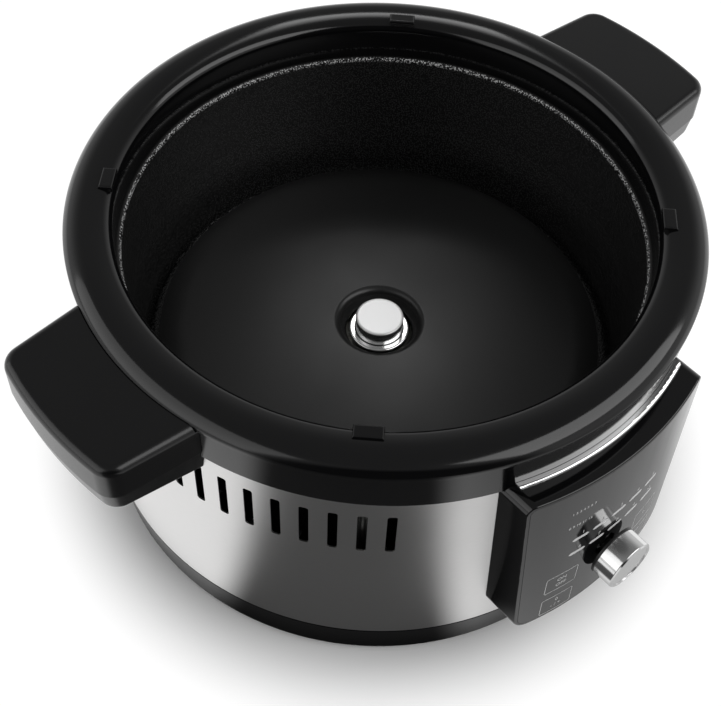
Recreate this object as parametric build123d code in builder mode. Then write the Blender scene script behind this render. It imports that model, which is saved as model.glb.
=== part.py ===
"""Countertop multicooker body, in millimetres.

The origin is on the surface under the middle of the cooker, +Z is up, the
control panel faces -Y and the two handles lie along X.
"""

import os
from math import cos, pi, radians, sin, sqrt

from build123d import *

# Clearances shared by every piece
seat_gap = 0.15      # between round faces that seat on one another
slide_gap = 0.5      # around the sensor that rises and sinks
running_gap = 0.05   # encoder shaft in its bush
overrun = 1.0        # how far a cutter runs past the face that it cuts
full_turn = 360.0
quarter_turn = 90.0

# Body, from the surface upwards
foot_drop = 3.0          # tray's underside above the surface
tray_height = 25.0       # tray's shoulder above its underside
crease_height = 182.0    # collar's widest circle above the surface
skirt_depth = 24.6       # skirt's lower edge below that circle
rebate_depth = 12.6      # steel band reaches this far up inside the skirt
seat_drop = 17.0         # collar's foot on the well's flange, below the crease
well_depth = 89.0        # flange down to the well's floor
plate_gap = 6.4          # heating plate's underside above the well's floor
corner_angle = 45.0      # stop blocks, tie rods and feet stand on the diagonals
corner_count = 4

band_bottom = foot_drop + tray_height
skirt_bottom = crease_height - skirt_depth
band_top = skirt_bottom + rebate_depth
seat_height = crease_height - seat_drop
well_bottom = seat_height - well_depth
plate_bottom = well_bottom + plate_gap

# Body, from the outside inwards
collar_radius = 160.0    # widest circle of the collar
collar_width = 24.0      # from there to the collar's inner wall
skirt_step = 1.8         # skirt stands in from the crease
band_inset = 1.9         # steel band stands in from the skirt
band_wall = 0.8
well_reveal = 2.4        # well's wall stands in from the collar's inner wall
plate_margin = 12.1      # plate's rim stands in from the well's wall

mouth_radius = collar_radius - collar_width
skirt_radius = collar_radius - skirt_step
band_radius = skirt_radius - band_inset
band_inner = band_radius - band_wall
well_radius = mouth_radius - well_reveal
plate_radius = well_radius - plate_margin

# Top collar
collar_wall = 3.0
collar_crest = 6.2       # crest above the crease
crest_inset = 10.0       # crest in from the widest circle
crest_fall = 1.2         # collar's top falls this much towards the well
inner_round = 4.2
inner_round_height = 5.4
crease_lip = 1.8         # upright lip under the crease
step_slope = 0.9
seat_reach = 7.5
crest_height = crease_height + collar_crest
crest_low = crest_height - crest_fall
crest_radius = collar_radius - crest_inset
skirt_inner = skirt_radius - collar_wall
step_height = crease_height - crease_lip - step_slope

# Stop blocks on the collar's inner edge
block_width = 14.0
block_depth = 7.2
block_inset = 0.4
block_seat = 1.4         # let into the collar
block_rise = 0.8         # above the collar's crest
block_round = 1.3
block_peg_radius = 1.8
block_peg_length = 3.6
block_radius = mouth_radius + block_inset + block_depth / 2
block_base = crest_low - block_seat

# Slots in the steel band, one set under each handle
slot_count = 21
slot_pitch = 5.0         # degrees between slots
slot_width = 4.2
slot_length = 31.2
slot_corner = 1.2
slot_drop = 41.4         # middle of a slot below the band's upper edge
slot_middle = band_top - slot_drop
slot_spread = (slot_count - 1) * slot_pitch

# Base tray
tray_wall = 2.6
tray_taper = 2.2         # tray's foot stands in from its shoulder
tray_shoulder_inset = 0.3
tray_rim_rise = 7.0      # locating rim inside the band
tray_groove = 0.9        # shadow groove under the steel
tray_round = 2.0
tray_vent_count = 24
tray_vent_length = 22.0
tray_vent_width = 3.6
tray_vent_inset = 50.0
tray_floor = foot_drop + tray_wall
tray_shoulder = band_radius - tray_shoulder_inset
tray_foot_radius = tray_shoulder - tray_taper
tray_rim_radius = band_inner - seat_gap
tray_vent_radius = tray_foot_radius - tray_vent_inset

# Screws
screw_radius = 1.5
screw_head_radius = 3.2
screw_head_height = 2.2
screw_bite = 7.0         # thread length in the piece that it holds
screw_recess = 3.0       # heads sink this far into the tray
screw_hole = screw_radius + seat_gap

# Tie rods between the tray and the collar
rod_radius = 2.5
rod_inset = 9.0          # rods stand in from the band's inner face
rod_stand = 12.4         # bosses above the tray's floor
rod_drop = 11.0          # rods end below the crease
rod_boss_radius = 5.0
rod_stud_radius = 1.9
rod_stud_length = 7.0
rod_circle = band_inner - rod_inset
rod_bottom = tray_floor + rod_stand
rod_top = crease_height - rod_drop

# Feet
foot_radius = 10.0
foot_inset = 30.0
foot_seat = 1.3          # let into the tray's underside
foot_round = 1.5
foot_circle = tray_foot_radius - foot_inset

# Inner well
well_wall = 0.9
well_taper = 2.6         # floor's edge stands in from the mouth
well_taper_depth = 45.0  # wall is upright above this depth
well_corner = 9.0
well_flange = 6.5        # flange reaches past the collar's inner wall
well_lip = 1.5           # rounded mouth
well_hole = 24.0
port_radius = 14.5       # holes under the cut-out and the fuse
port_circle = 46.0
port_count = 2
well_under = well_bottom - well_wall
well_foot = well_radius - well_taper
flange_radius = mouth_radius + well_flange

# Heating plate and its element
plate_thickness = 9.0
plate_dome = 1.1
plate_edge = 14.0        # rim rolls off over this width
plate_edge_drop = 3.2
plate_hole = 18.6
plate_hole_wall = 21.2   # opening below its rolled edge
plate_hole_round = 4.4
plate_hole_slope = 3.4   # height of the slope down to the sensor
element_circle = 80.0
element_radius = 3.6
element_sweep = 320.0    # degrees of the ring, open towards the rear
element_rise = 1.2       # middle of the tube above the plate's underside
element_drop = 24.0      # straight ends below the ring
element_port = 6.5
rib_half_width = 7.0
rib_depth = 3.2
terminal_radius = 4.6
terminal_height = 6.0
terminal_pin_radius = 1.2
terminal_pin_length = 7.0
plate_top = plate_bottom + plate_thickness
element_height = plate_bottom + element_rise
element_start = quarter_turn + (full_turn - element_sweep) / 2
element_ends = (element_start, element_start + element_sweep)
terminal_bottom = element_height - element_drop - terminal_height

# Plate legs
leg_count = 3
leg_start = 90.0
leg_circle = 56.0
leg_radius = 5.5
leg_collar_radius = 9.0
leg_collar_height = 2.0
leg_stand = 11.4         # bosses above the tray's floor
leg_boss_radius = 8.0
leg_spigot_radius = 3.0
leg_spigot_length = 5.0
leg_bottom = tray_floor + leg_stand

# Sensor that the pot's bottom presses down
cap_radius = 13.4
cap_wall = 0.8
cap_crown = 1.2
cap_length = 15.0
cap_round = 1.4
cap_proud = 3.0          # above the plate's dome, which is also its travel
sleeve_wall = 1.0
sleeve_lip_radius = 17.0
sleeve_lip_height = 2.2
sleeve_lip_round = 1.4
sleeve_sink = 5.2        # sleeve's lip below the plate's upper edge
stem_radius = 4.5
holder_height = 5.0
stem_tail = 7.0          # stem below the bracket
stem_clip_radius = 7.0
stem_clip_height = 1.2
bracket_wall = 1.2
bracket_drop = 12.0      # bracket's floor below the well
bracket_radius = 20.5
bracket_flange = 31.0
bracket_round = 2.0
rivet_count = 3
rivet_start = 30.0
rivet_radius = 1.5
rivet_head_radius = 2.6
rivet_head_height = 1.0
cap_top = plate_top + plate_dome + cap_proud
cap_bottom = cap_top - cap_length
cap_inner = cap_radius - cap_wall
holder_radius = cap_inner - seat_gap
holder_bottom = cap_top - cap_crown - holder_height
sleeve_inner = cap_radius + slide_gap
sleeve_outer = sleeve_inner + sleeve_wall
sleeve_top = plate_top - sleeve_sink
bracket_floor = well_under - bracket_drop
bracket_under = bracket_floor - bracket_wall
rivet_circle = (well_hole + bracket_flange) / 2
rivet_hole = rivet_radius + seat_gap

# Sensor spring
spring_radius = 8.6
spring_wire = 0.7
spring_turns = 6
spring_flat_share = 0.5  # how far the end turns lie flat
spring_samples = 60

# Thermal cut-out and fuse under the plate
cutout_radius = 7.4
cutout_height = 10.0
cutout_ear_length = 25.0
cutout_ear_width = 8.0
cutout_ear_height = 1.2
cutout_ear_inset = 2.6   # screws in from the ears' ends
cutout_screw_radius = 1.2
cutout_screw_head = 1.9
cutout_screw_bite = 4.0
fuse_radius = 2.2
fuse_length = 14.0
fuse_clip_width = 9.0
fuse_clip_length = 9.0
fuse_clip_height = 7.0
fuse_drop = 3.6          # middle of the fuse below the plate
cutout_screw_pitch = cutout_ear_length - 2 * cutout_ear_inset

# Handles
handle_rise = 0.6        # handle's top above the crease
handle_height = 38.6
handle_slope = 6.5       # degrees that the underside rises towards the tip
handle_parting_drop = 20.6
handle_length = 42.0     # outer face from the collar's widest circle
handle_root_width = 94.6
handle_tip_width = 84.6
handle_root_overlap = 4.0
handle_corner = 11.0
handle_edge = 4.6
handle_wall = 3.0
handle_root_wall = 6.0
handle_draft = 8.0      # degrees, underside
handle_under_edge = 2.4
handle_step = 0.4        # underside stands in from the shell
handle_boss_radius = 4.5
handle_boss_inset = 22.0
handle_boss_spread = 44.0
handle_screw_spread = 26.0   # degrees between the two screws in one root
handle_screw_drop = 7.6      # these screws below the crease
handle_recess = 8.6
handle_top = crease_height + handle_rise
handle_bottom = handle_top - handle_height
handle_parting = handle_top - handle_parting_drop
handle_reach = collar_radius + handle_length
handle_start = sqrt(band_inner**2 - (handle_root_width / 2) ** 2) - handle_root_overlap
handle_boss_place = handle_reach - handle_boss_inset
handle_screw_height = crease_height - handle_screw_drop
handle_hollow_radius = skirt_radius + seat_gap + handle_root_wall
handle_under_depth = handle_parting - handle_bottom

# Control panel bezel
panel_lap = 3.0          # panel's ledge above the skirt's lower edge
panel_rise = 15.0        # panel's lower edge above the band's
panel_top_width = 119.6
panel_bottom_width = 108.0
panel_depth = 14.3       # upper front edge from the skirt
panel_flare = 3.3        # lower front edge stands out further
panel_corner = 5.5
panel_low_corner = 9.0
panel_wall = 2.6
panel_frame = 1.8        # bezel's rim around the fascia
panel_edge = 1.0
fascia_thickness = 2.4
backing_thickness = 2.2
trim_width = 3.4
trim_height = 2.6
trim_proud = 1.5         # above the ledge
trim_round = 1.6         # outer upper edge
panel_boss_radius = 4.0
panel_boss_angle = 16.0  # degrees each side of the middle
panel_boss_inset = 14.5
panel_cable_width = 36.0
panel_cable_height = 30.0
panel_top = skirt_bottom + panel_lap
panel_bottom = band_bottom + panel_rise
panel_middle = (panel_top + panel_bottom) / 2
panel_front_top = skirt_radius + panel_depth
panel_front_bottom = panel_front_top + panel_flare
panel_reach = panel_front_bottom + overrun
panel_full_depth = panel_front_bottom - band_inner + overrun
fascia_rear = fascia_thickness + seat_gap
backing_rear = fascia_rear + backing_thickness
trim_inner = skirt_radius + seat_gap
trim_outer = trim_inner + trim_width
trim_top = panel_top + trim_proud
trim_bottom = trim_top - trim_height
panel_boss_heights = (panel_bottom + panel_boss_inset, panel_top - panel_boss_inset)
panel_boss_places = (-panel_boss_angle, panel_boss_angle)

# Control board, light guide and touch pads
board_gap = 3.0          # board's rear face from the band
board_wall = 1.6
board_margin = 6.6       # board's edge above and below inside the panel
board_width = 76.0
board_screw_inset = 4.2
board_post_radius = 3.0
guide_width = 60.0
guide_share = 0.53125    # guide's part of the height above the encoder
guide_depth = 3.4
guide_top_gap = 12.0
guide_wall = 1.6
window_rows = 3
window_columns = 4
window_share = 0.55      # share of a guide cell's width that the backing opens
pad_radius = 5.0
pad_height = 2.6
pad_columns = 2
pad_rows = 2
pad_spread = 48.0
pad_pitch = 17.0
pad_rise = 15.0
board_rear = band_radius + board_gap
board_front = board_rear + board_wall
board_height = panel_top - panel_bottom - 2 * board_margin
board_hole_x = board_width - 2 * board_screw_inset
board_hole_z = board_height - 2 * board_screw_inset
cell_x = guide_width / window_columns
pad_middle = panel_bottom + pad_rise + pad_pitch / 2

# Knob and encoder
knob_rise = 35.2         # knob's axis above the panel's lower edge
knob_radius = 14.3
knob_length = 11.7
knob_standoff = 2.2      # knob's dark ring from the fascia
knob_chamfer = 0.9
knob_dish = 0.5
knob_dish_margin = 2.0
knob_wall = 2.7
knob_hub = 5.0
knob_hollow = 8.0
ring_length = 1.5
ring_radius = 14.5
ring_inner = 7.0
shaft_radius = 3.0
shaft_flat = 1.0         # depth of the flat on the shaft
shaft_in_knob = 8.5
bush_radius = 4.0
bush_hole = 4.6
bush_clearance = 0.5     # bush ends short of the ring's rear face
encoder_width = 12.4
encoder_depth = 6.3
plunger_radius = 2.7
plunger_length = 1.6
push_travel = 0.8
push_reserve = 0.3       # left behind the plunger when fully pushed
knob_height = panel_bottom + knob_rise
knob_share = (panel_top - knob_height) / (panel_top - panel_bottom)
fascia_at_knob = panel_front_top + panel_flare * knob_share
ring_rear = fascia_at_knob + knob_standoff
knob_rear = ring_rear + ring_length
knob_front = knob_rear + knob_length
encoder_front = board_front + encoder_depth
guide_top = panel_top - guide_top_gap
guide_height = guide_share * (guide_top - knob_height - encoder_width / 2)
guide_middle = guide_top - guide_height / 2
cell_z = guide_height / window_rows
bush_front = ring_rear - bush_clearance
plunger_rear = board_front + push_travel + push_reserve
shaft_rear = plunger_rear + plunger_length + running_gap
shaft_front = knob_rear + shaft_in_knob - seat_gap
shaft_bore = shaft_radius + running_gap
flat_start = knob_rear - seat_gap
flat_middle = knob_height + 2 * shaft_radius - shaft_flat

# Power board in the base
power_width = 110.0
power_depth = 62.0
power_inset = 61.8       # board's middle from the tray's foot, towards the panel
power_stand = 8.4        # board above the tray's floor
power_post_radius = 3.2
power_screw_inset = 5.0
relay_width = 19.0
relay_depth = 15.5
relay_height = 15.0
transformer_width = 34.0
transformer_depth = 28.0
transformer_height = 25.0
core_height = 9.0
core_lip = 3.0
capacitor_width = 26.0
capacitor_depth = 10.0
capacitor_height = 17.0
capacitor_round = 2.0
component_pitch = 34.0
power_place = tray_foot_radius - power_inset
power_bottom = tray_floor + power_stand
power_top = power_bottom + board_wall
power_hole_x = power_width - 2 * power_screw_inset
power_hole_y = power_depth - 2 * power_screw_inset

# Mains inlet at the rear
inlet_rise = 32.0        # inlet's middle above the band's lower edge
inlet_width = 28.0
inlet_height = 20.4
inlet_chamfer = 5.0
inlet_flange_margin = 2.4
inlet_flange = 1.8
inlet_depth = 19.0
socket_wall = 1.8
socket_depth = 15.5
surround_width = 50.0
surround_height = 36.0
surround_corner = 5.0
surround_proud = 3.2
surround_round = 1.2
latch_width = 1.5
latch_length = 4.0
latch_height = 8.0
pin_width = 2.0
pin_height = 4.0
pin_length = 10.5
pin_spread = 14.0
pin_rise = 2.0           # middle pin above, and the outer two below, the socket's middle
pin_tail = 6.0
inlet_middle = band_bottom + inlet_rise
surround_face = band_radius + surround_proud
surround_rear = band_inner - surround_proud
inlet_rear = surround_face - inlet_depth
inlet_front = surround_face + inlet_flange
socket_width = inlet_width - 2 * socket_wall
socket_height = inlet_height - 2 * socket_wall
socket_floor = inlet_front - socket_depth
pin_places = [(-pin_spread / 2, -pin_rise), (0, pin_rise), (pin_spread / 2, -pin_rise)]
latch_corner = inlet_width / 2 + latch_width
latch_front = sqrt(band_inner**2 - latch_corner**2) - seat_gap

# Directions and alignments used throughout
standing = (Align.CENTER, Align.CENTER, Align.MIN)
hanging = (Align.CENTER, Align.CENTER, Align.MAX)
front_view = Plane.XZ
rear_view = Plane(origin=(0, 0, 0), x_dir=(-1, 0, 0), z_dir=(0, 1, 0))
panel_angle = -90.0
handle_angles = (0.0, 180.0)
handle_screw_halves = (-handle_screw_spread / 2, handle_screw_spread / 2)


def radial_plane(angle, height, distance):
    """Plane that faces outwards at one angle, height and distance."""
    out = Vector(cos(radians(angle)), sin(radians(angle)), 0)
    side = Vector(-out.Y, out.X, 0)
    return Plane(origin=out * distance + Vector(0, 0, height), x_dir=side, z_dir=out)


def screw(length):
    """Pan-head screw that points along the current location, seated under its head."""
    Cylinder(screw_radius, length, align=standing)
    Cylinder(screw_head_radius, screw_head_height, align=hanging)


def panel_slab(inset, shallow, deep):
    """Curved slab of the panel, between two depths behind its front face.

    The outline is the panel's front view, drawn in by one inset.
    """
    half_low = panel_bottom_width / 2 - inset
    half_high = panel_top_width / 2 - inset
    low = panel_bottom + inset
    high = panel_top - inset
    round_low = panel_low_corner - inset
    round_high = panel_corner - inset
    with BuildPart() as slab:
        with BuildSketch(front_view):
            with BuildLine():
                FilletPolyline(
                    (-half_low, low),
                    (half_low, low),
                    (half_high, high),
                    (-half_high, high),
                    radius=(round_low, round_low, round_high, round_high),
                    close=True,
                )
            make_face()
        extrude(amount=panel_reach)
        with BuildSketch(front_view):
            with BuildLine():
                Polyline(
                    (panel_front_bottom - deep, panel_bottom),
                    (panel_front_bottom - shallow, panel_bottom),
                    (panel_front_top - shallow, panel_top),
                    (panel_front_top - deep, panel_top),
                    close=True,
                )
            make_face()
        revolve(axis=Axis.Z, mode=Mode.INTERSECT)
    return slab.part


# Outside of the round body with its clearance, cut from whatever is fixed to it
with BuildPart() as body_envelope:
    Cylinder(band_radius + seat_gap, crest_height, align=standing)
    with Locations((0, 0, skirt_bottom - seat_gap)):
        Cylinder(skirt_radius + seat_gap, skirt_depth, align=standing)
    with Locations((0, 0, step_height - seat_gap)):
        Cylinder(collar_radius + seat_gap, crease_lip + collar_crest, align=standing)

# Top collar: crest, rolled edge, skirt, and the inner wall that seats on the well
with BuildPart() as top_collar:
    with BuildSketch(Plane.XZ):
        with BuildLine():
            inner_wall = Line(
                (mouth_radius, seat_height), (mouth_radius, crest_low - inner_round_height)
            )
            inner_roll = TangentArc(
                inner_wall @ 1, (mouth_radius + inner_round, crest_low), tangent=(0, 1)
            )
            crest = TangentArc(
                inner_roll @ 1, (crest_radius, crest_height), tangent=inner_roll % 1
            )
            outer_roll = TangentArc(
                crest @ 1, (collar_radius, crease_height), tangent=crest % 1
            )
            Polyline(
                outer_roll @ 1,
                (collar_radius, crease_height - crease_lip),
                (skirt_radius, step_height),
                (skirt_radius, skirt_bottom),
                (band_radius + seat_gap, skirt_bottom),
                (band_radius + seat_gap, band_top),
                (skirt_inner, band_top),
                (skirt_inner, step_height),
                (crest_radius, crest_height - collar_wall),
                (mouth_radius + inner_round, crest_low - collar_wall),
                (mouth_radius + collar_wall, crest_low - collar_wall - inner_round / 2),
                (mouth_radius + collar_wall, seat_height + collar_wall),
                (mouth_radius + seat_reach, seat_height + collar_wall),
                (mouth_radius + seat_reach, seat_height),
                inner_wall @ 0,
            )
        make_face()
    revolve(axis=Axis.Z)
    with PolarLocations(rod_circle, corner_count, corner_angle):
        with Locations((0, 0, rod_top)):
            Cylinder(rod_boss_radius, crest_low - collar_wall / 2 - rod_top, align=standing)
            Cylinder(
                rod_stud_radius + seat_gap,
                rod_stud_length + seat_gap,
                align=standing,
                mode=Mode.SUBTRACT,
            )
    with PolarLocations(block_radius, corner_count, corner_angle):
        with Locations((0, 0, block_base)):
            Box(
                block_depth + 2 * seat_gap,
                block_width + 2 * seat_gap,
                block_seat + overrun,
                align=standing,
                mode=Mode.SUBTRACT,
            )
            Cylinder(
                block_peg_radius + seat_gap,
                block_peg_length + seat_gap,
                align=hanging,
                mode=Mode.SUBTRACT,
            )
    for handle_angle in handle_angles:
        for half in handle_screw_halves:
            root = radial_plane(handle_angle + half, handle_screw_height, skirt_inner - overrun)
            with Locations(root):
                Cylinder(
                    screw_hole, collar_wall + 2 * overrun, align=standing, mode=Mode.SUBTRACT
                )

# Stop blocks, each with a peg into the collar
with BuildPart() as pot_stop_blocks:
    with PolarLocations(block_radius, corner_count, corner_angle):
        with Locations((0, 0, block_base)):
            Box(block_depth, block_width, block_seat + crest_fall + block_rise, align=standing)
    fillet(pot_stop_blocks.edges().group_by(Axis.Z)[-1], block_round)
    with PolarLocations(block_radius, corner_count, corner_angle):
        with Locations((0, 0, block_base)):
            Cylinder(block_peg_radius, block_peg_length, align=hanging)

# One vent slot's cutter, reaching through the steel band
with BuildPart() as band_slot:
    with BuildSketch(radial_plane(0, slot_middle, band_inner - overrun)):
        RectangleRounded(slot_width, slot_length, slot_corner)
    extrude(amount=band_wall + 2 * overrun)

# Brushed stainless housing: a slotted band
with BuildPart() as steel_housing:
    with BuildSketch(Plane.XY.offset(band_bottom)):
        Circle(band_radius)
        Circle(band_inner, mode=Mode.SUBTRACT)
    extrude(amount=band_top - band_bottom)
    for handle_angle in handle_angles:
        first_slot = handle_angle - slot_spread / 2
        with PolarLocations(0, slot_count, first_slot, slot_spread, endpoint=True):
            add(band_slot.part, mode=Mode.SUBTRACT)
    with BuildSketch(front_view.offset(band_inner / 2)):
        with Locations((0, panel_middle)):
            RectangleRounded(panel_cable_width, panel_cable_height, panel_corner)
    extrude(amount=band_radius, mode=Mode.SUBTRACT)
    with BuildSketch(rear_view.offset(band_inner / 2)):
        with Locations((0, inlet_middle)):
            Rectangle(inlet_width + 2 * seat_gap, inlet_height + 2 * seat_gap)
    extrude(amount=band_radius, mode=Mode.SUBTRACT)
    for boss_height in panel_boss_heights:
        for boss_angle in panel_boss_places:
            place = radial_plane(panel_angle + boss_angle, boss_height, band_inner - overrun)
            with Locations(place):
                Cylinder(
                    screw_hole, band_wall + 2 * overrun, align=standing, mode=Mode.SUBTRACT
                )

# Base tray: shallow moulded bowl with a shoulder that carries the steel band
with BuildPart() as base_tray:
    with BuildSketch(Plane.XZ):
        with BuildLine():
            rim_top = band_bottom + tray_rim_rise
            groove_top = band_bottom - tray_groove
            groove_bottom = groove_top - tray_groove
            Polyline(
                (0, foot_drop),
                (tray_foot_radius, foot_drop),
                (tray_shoulder, groove_bottom),
                (tray_shoulder - tray_groove, groove_bottom),
                (tray_shoulder - tray_groove, groove_top),
                (tray_shoulder, groove_top),
                (tray_shoulder, band_bottom),
                (tray_rim_radius, band_bottom),
                (tray_rim_radius, rim_top),
                (tray_rim_radius - tray_wall, rim_top),
                (tray_foot_radius - tray_wall, tray_floor),
                (0, tray_floor),
                close=True,
            )
        make_face()
    revolve(axis=Axis.Z)
    fillet(base_tray.edges().group_by(Axis.Z)[0], tray_round)
    with Locations((0, 0, tray_floor)):
        with PolarLocations(rod_circle, corner_count, corner_angle):
            Cylinder(rod_boss_radius, rod_stand, align=standing)
        with PolarLocations(leg_circle, leg_count, leg_start):
            Cylinder(leg_boss_radius, leg_stand, align=standing)
    with Locations((0, 0, foot_drop)):
        with PolarLocations(rod_circle, corner_count, corner_angle):
            Cylinder(screw_hole, rod_bottom - foot_drop, align=standing, mode=Mode.SUBTRACT)
            Cylinder(
                screw_head_radius + seat_gap, screw_recess, align=standing, mode=Mode.SUBTRACT
            )
        with PolarLocations(leg_circle, leg_count, leg_start):
            Cylinder(screw_hole, leg_bottom - foot_drop, align=standing, mode=Mode.SUBTRACT)
            Cylinder(
                screw_head_radius + seat_gap, screw_recess, align=standing, mode=Mode.SUBTRACT
            )
        with PolarLocations(foot_circle, corner_count, corner_angle):
            Cylinder(foot_radius + seat_gap, foot_seat, align=standing, mode=Mode.SUBTRACT)
    with Locations((0, -power_place, tray_floor)):
        with GridLocations(power_hole_x, power_hole_y, 2, 2):
            Cylinder(power_post_radius, power_stand, align=standing)
            Cylinder(screw_hole, power_stand, align=standing, mode=Mode.SUBTRACT)
    with BuildSketch(Plane.XY.offset(foot_drop)):
        with PolarLocations(tray_vent_radius, tray_vent_count, 180 / tray_vent_count):
            SlotOverall(tray_vent_length, tray_vent_width)
    extrude(amount=tray_wall, mode=Mode.SUBTRACT)

# Rubber feet
with BuildPart() as rubber_feet:
    with PolarLocations(foot_circle, corner_count, corner_angle):
        Cylinder(foot_radius, foot_drop + foot_seat, align=standing)
    fillet(rubber_feet.edges().group_by(Axis.Z)[0], foot_round)

# Base screws: one up into each tie rod
with BuildPart() as base_screws:
    with PolarLocations(rod_circle, corner_count, corner_angle):
        with Locations((0, 0, foot_drop + screw_recess)):
            screw(rod_bottom + screw_bite - foot_drop - screw_recess)

# Tie rods: tapped below, with a stud into the collar above
with BuildPart() as tie_rods:
    with PolarLocations(rod_circle, corner_count, corner_angle):
        with Locations((0, 0, rod_bottom)):
            Cylinder(rod_radius, rod_top - rod_bottom, align=standing)
            Cylinder(screw_hole, screw_bite + seat_gap, align=standing, mode=Mode.SUBTRACT)
        with Locations((0, 0, rod_top)):
            Cylinder(rod_stud_radius, rod_stud_length, align=standing)

# Hollow of the inner well
with BuildPart() as well_space:
    with BuildSketch(Plane.XZ):
        with BuildLine():
            Polyline(
                (0, well_bottom),
                (well_foot, well_bottom),
                (well_radius, seat_height - well_taper_depth),
                (well_radius, seat_height + overrun),
                (0, seat_height + overrun),
                close=True,
            )
        make_face()
    revolve(axis=Axis.Z)
    fillet(well_space.edges().group_by(Axis.Z)[0], well_corner)

# Inner well: pressed cup whose flange carries the collar
with BuildPart() as inner_well:
    with BuildSketch(Plane.XZ):
        with BuildLine():
            Polyline(
                (0, well_under),
                (well_foot + well_wall, well_under),
                (well_radius + well_wall, seat_height - well_taper_depth),
                (well_radius + well_wall, seat_height - well_wall),
                (flange_radius, seat_height - well_wall),
                (flange_radius, seat_height),
                (0, seat_height),
                close=True,
            )
        make_face()
    revolve(axis=Axis.Z)
    fillet(inner_well.edges().group_by(Axis.Z)[0], well_corner + well_wall)
    add(well_space.part, mode=Mode.SUBTRACT)
    mouth_edge = inner_well.edges().group_by(Axis.Z)[-1].sort_by(SortBy.RADIUS)[0]
    fillet(mouth_edge, well_lip)
    with Locations((0, 0, well_under)):
        Cylinder(well_hole, well_wall, align=standing, mode=Mode.SUBTRACT)
        with PolarLocations(leg_circle, leg_count, leg_start):
            Cylinder(leg_radius + seat_gap, well_wall, align=standing, mode=Mode.SUBTRACT)
        with PolarLocations(port_circle, port_count):
            Cylinder(port_radius, well_wall, align=standing, mode=Mode.SUBTRACT)
        for end_angle in element_ends:
            with PolarLocations(element_circle, 1, end_angle):
                Cylinder(element_port, well_wall, align=standing, mode=Mode.SUBTRACT)
        with PolarLocations(rivet_circle, rivet_count, rivet_start):
            Cylinder(rivet_hole, well_wall, align=standing, mode=Mode.SUBTRACT)


# Heating element: open ring of tube in the plate's rib, its two ends turned down
with BuildPart() as heating_element:
    tube_start = radial_plane(element_start, element_height, element_circle)
    with BuildSketch(
        Plane(origin=tube_start.origin, x_dir=tube_start.z_dir, z_dir=tube_start.x_dir)
    ):
        Circle(element_radius)
    revolve(axis=Axis.Z, revolution_arc=element_sweep)
    for end_angle in element_ends:
        with Locations(radial_plane(end_angle, element_height, element_circle).origin):
            Sphere(element_radius)
            Cylinder(element_radius, element_drop, align=hanging)

# Channel for the element in the casting, cut all the way round
with BuildPart() as element_channel:
    with Locations((0, 0, element_height)):
        Torus(element_circle, element_radius + seat_gap)
        with PolarLocations(element_circle, 2, element_start, element_sweep, endpoint=True):
            Cylinder(element_radius + 2 * seat_gap, element_drop, align=hanging)

# Heating plate: slightly domed casting with a rib round the element
with BuildPart() as heating_plate:
    with BuildSketch(Plane.XZ):
        with BuildLine():
            plate_rim = Line(
                (plate_radius, plate_bottom), (plate_radius, plate_top - plate_edge_drop)
            )
            dome = Line(
                (plate_radius - plate_edge, plate_top),
                (plate_hole_wall + plate_hole_round, plate_top + plate_dome),
            )
            TangentArc(dome @ 0, plate_rim @ 1, tangent=dome % 0 * -1)
            hole_edge = TangentArc(
                dome @ 1,
                (plate_hole_wall, plate_top + plate_dome - plate_hole_round),
                tangent=dome % 1,
            )
            Polyline(
                hole_edge @ 1,
                (plate_hole, plate_top + plate_dome - plate_hole_round - plate_hole_slope),
                (plate_hole, plate_bottom),
                (element_circle - rib_half_width, plate_bottom),
                (element_circle - rib_half_width / 2, plate_bottom - rib_depth),
                (element_circle + rib_half_width / 2, plate_bottom - rib_depth),
                (element_circle + rib_half_width, plate_bottom),
                plate_rim @ 0,
            )
        make_face()
    revolve(axis=Axis.Z)
    add(element_channel.part, mode=Mode.SUBTRACT)
    with Locations((0, 0, plate_bottom)):
        with PolarLocations(leg_circle, leg_count, leg_start):
            Cylinder(
                leg_spigot_radius + seat_gap,
                leg_spigot_length + seat_gap,
                align=standing,
                mode=Mode.SUBTRACT,
            )
        with Locations((port_circle, 0, 0)):
            with GridLocations(0, cutout_screw_pitch, 1, 2):
                Cylinder(
                    cutout_screw_radius + seat_gap,
                    cutout_screw_bite + seat_gap,
                    align=standing,
                    mode=Mode.SUBTRACT,
                )

# Element terminals: a ceramic bead and a pin under each end
with BuildPart() as element_terminals:
    for end_angle in element_ends:
        with PolarLocations(element_circle, 1, end_angle):
            with Locations((0, 0, terminal_bottom)):
                Cylinder(terminal_radius, terminal_height, align=standing)
                Cylinder(terminal_pin_radius, terminal_pin_length, align=hanging)

# Plate legs: posts from the tray, through the well's floor, into the plate
with BuildPart() as plate_legs:
    with PolarLocations(leg_circle, leg_count, leg_start):
        with Locations((0, 0, leg_bottom)):
            Cylinder(leg_radius, plate_bottom - leg_bottom, align=standing)
            Cylinder(screw_hole, screw_bite + seat_gap, align=standing, mode=Mode.SUBTRACT)
        with Locations((0, 0, well_under)):
            Cylinder(leg_collar_radius, leg_collar_height, align=hanging)
        with Locations((0, 0, plate_bottom)):
            Cylinder(leg_spigot_radius, leg_spigot_length, align=standing)

# Screws up through the tray into the plate legs
with BuildPart() as plate_screws:
    with PolarLocations(leg_circle, leg_count, leg_start):
        with Locations((0, 0, foot_drop + screw_recess)):
            screw(leg_bottom + screw_bite - foot_drop - screw_recess)

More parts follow.
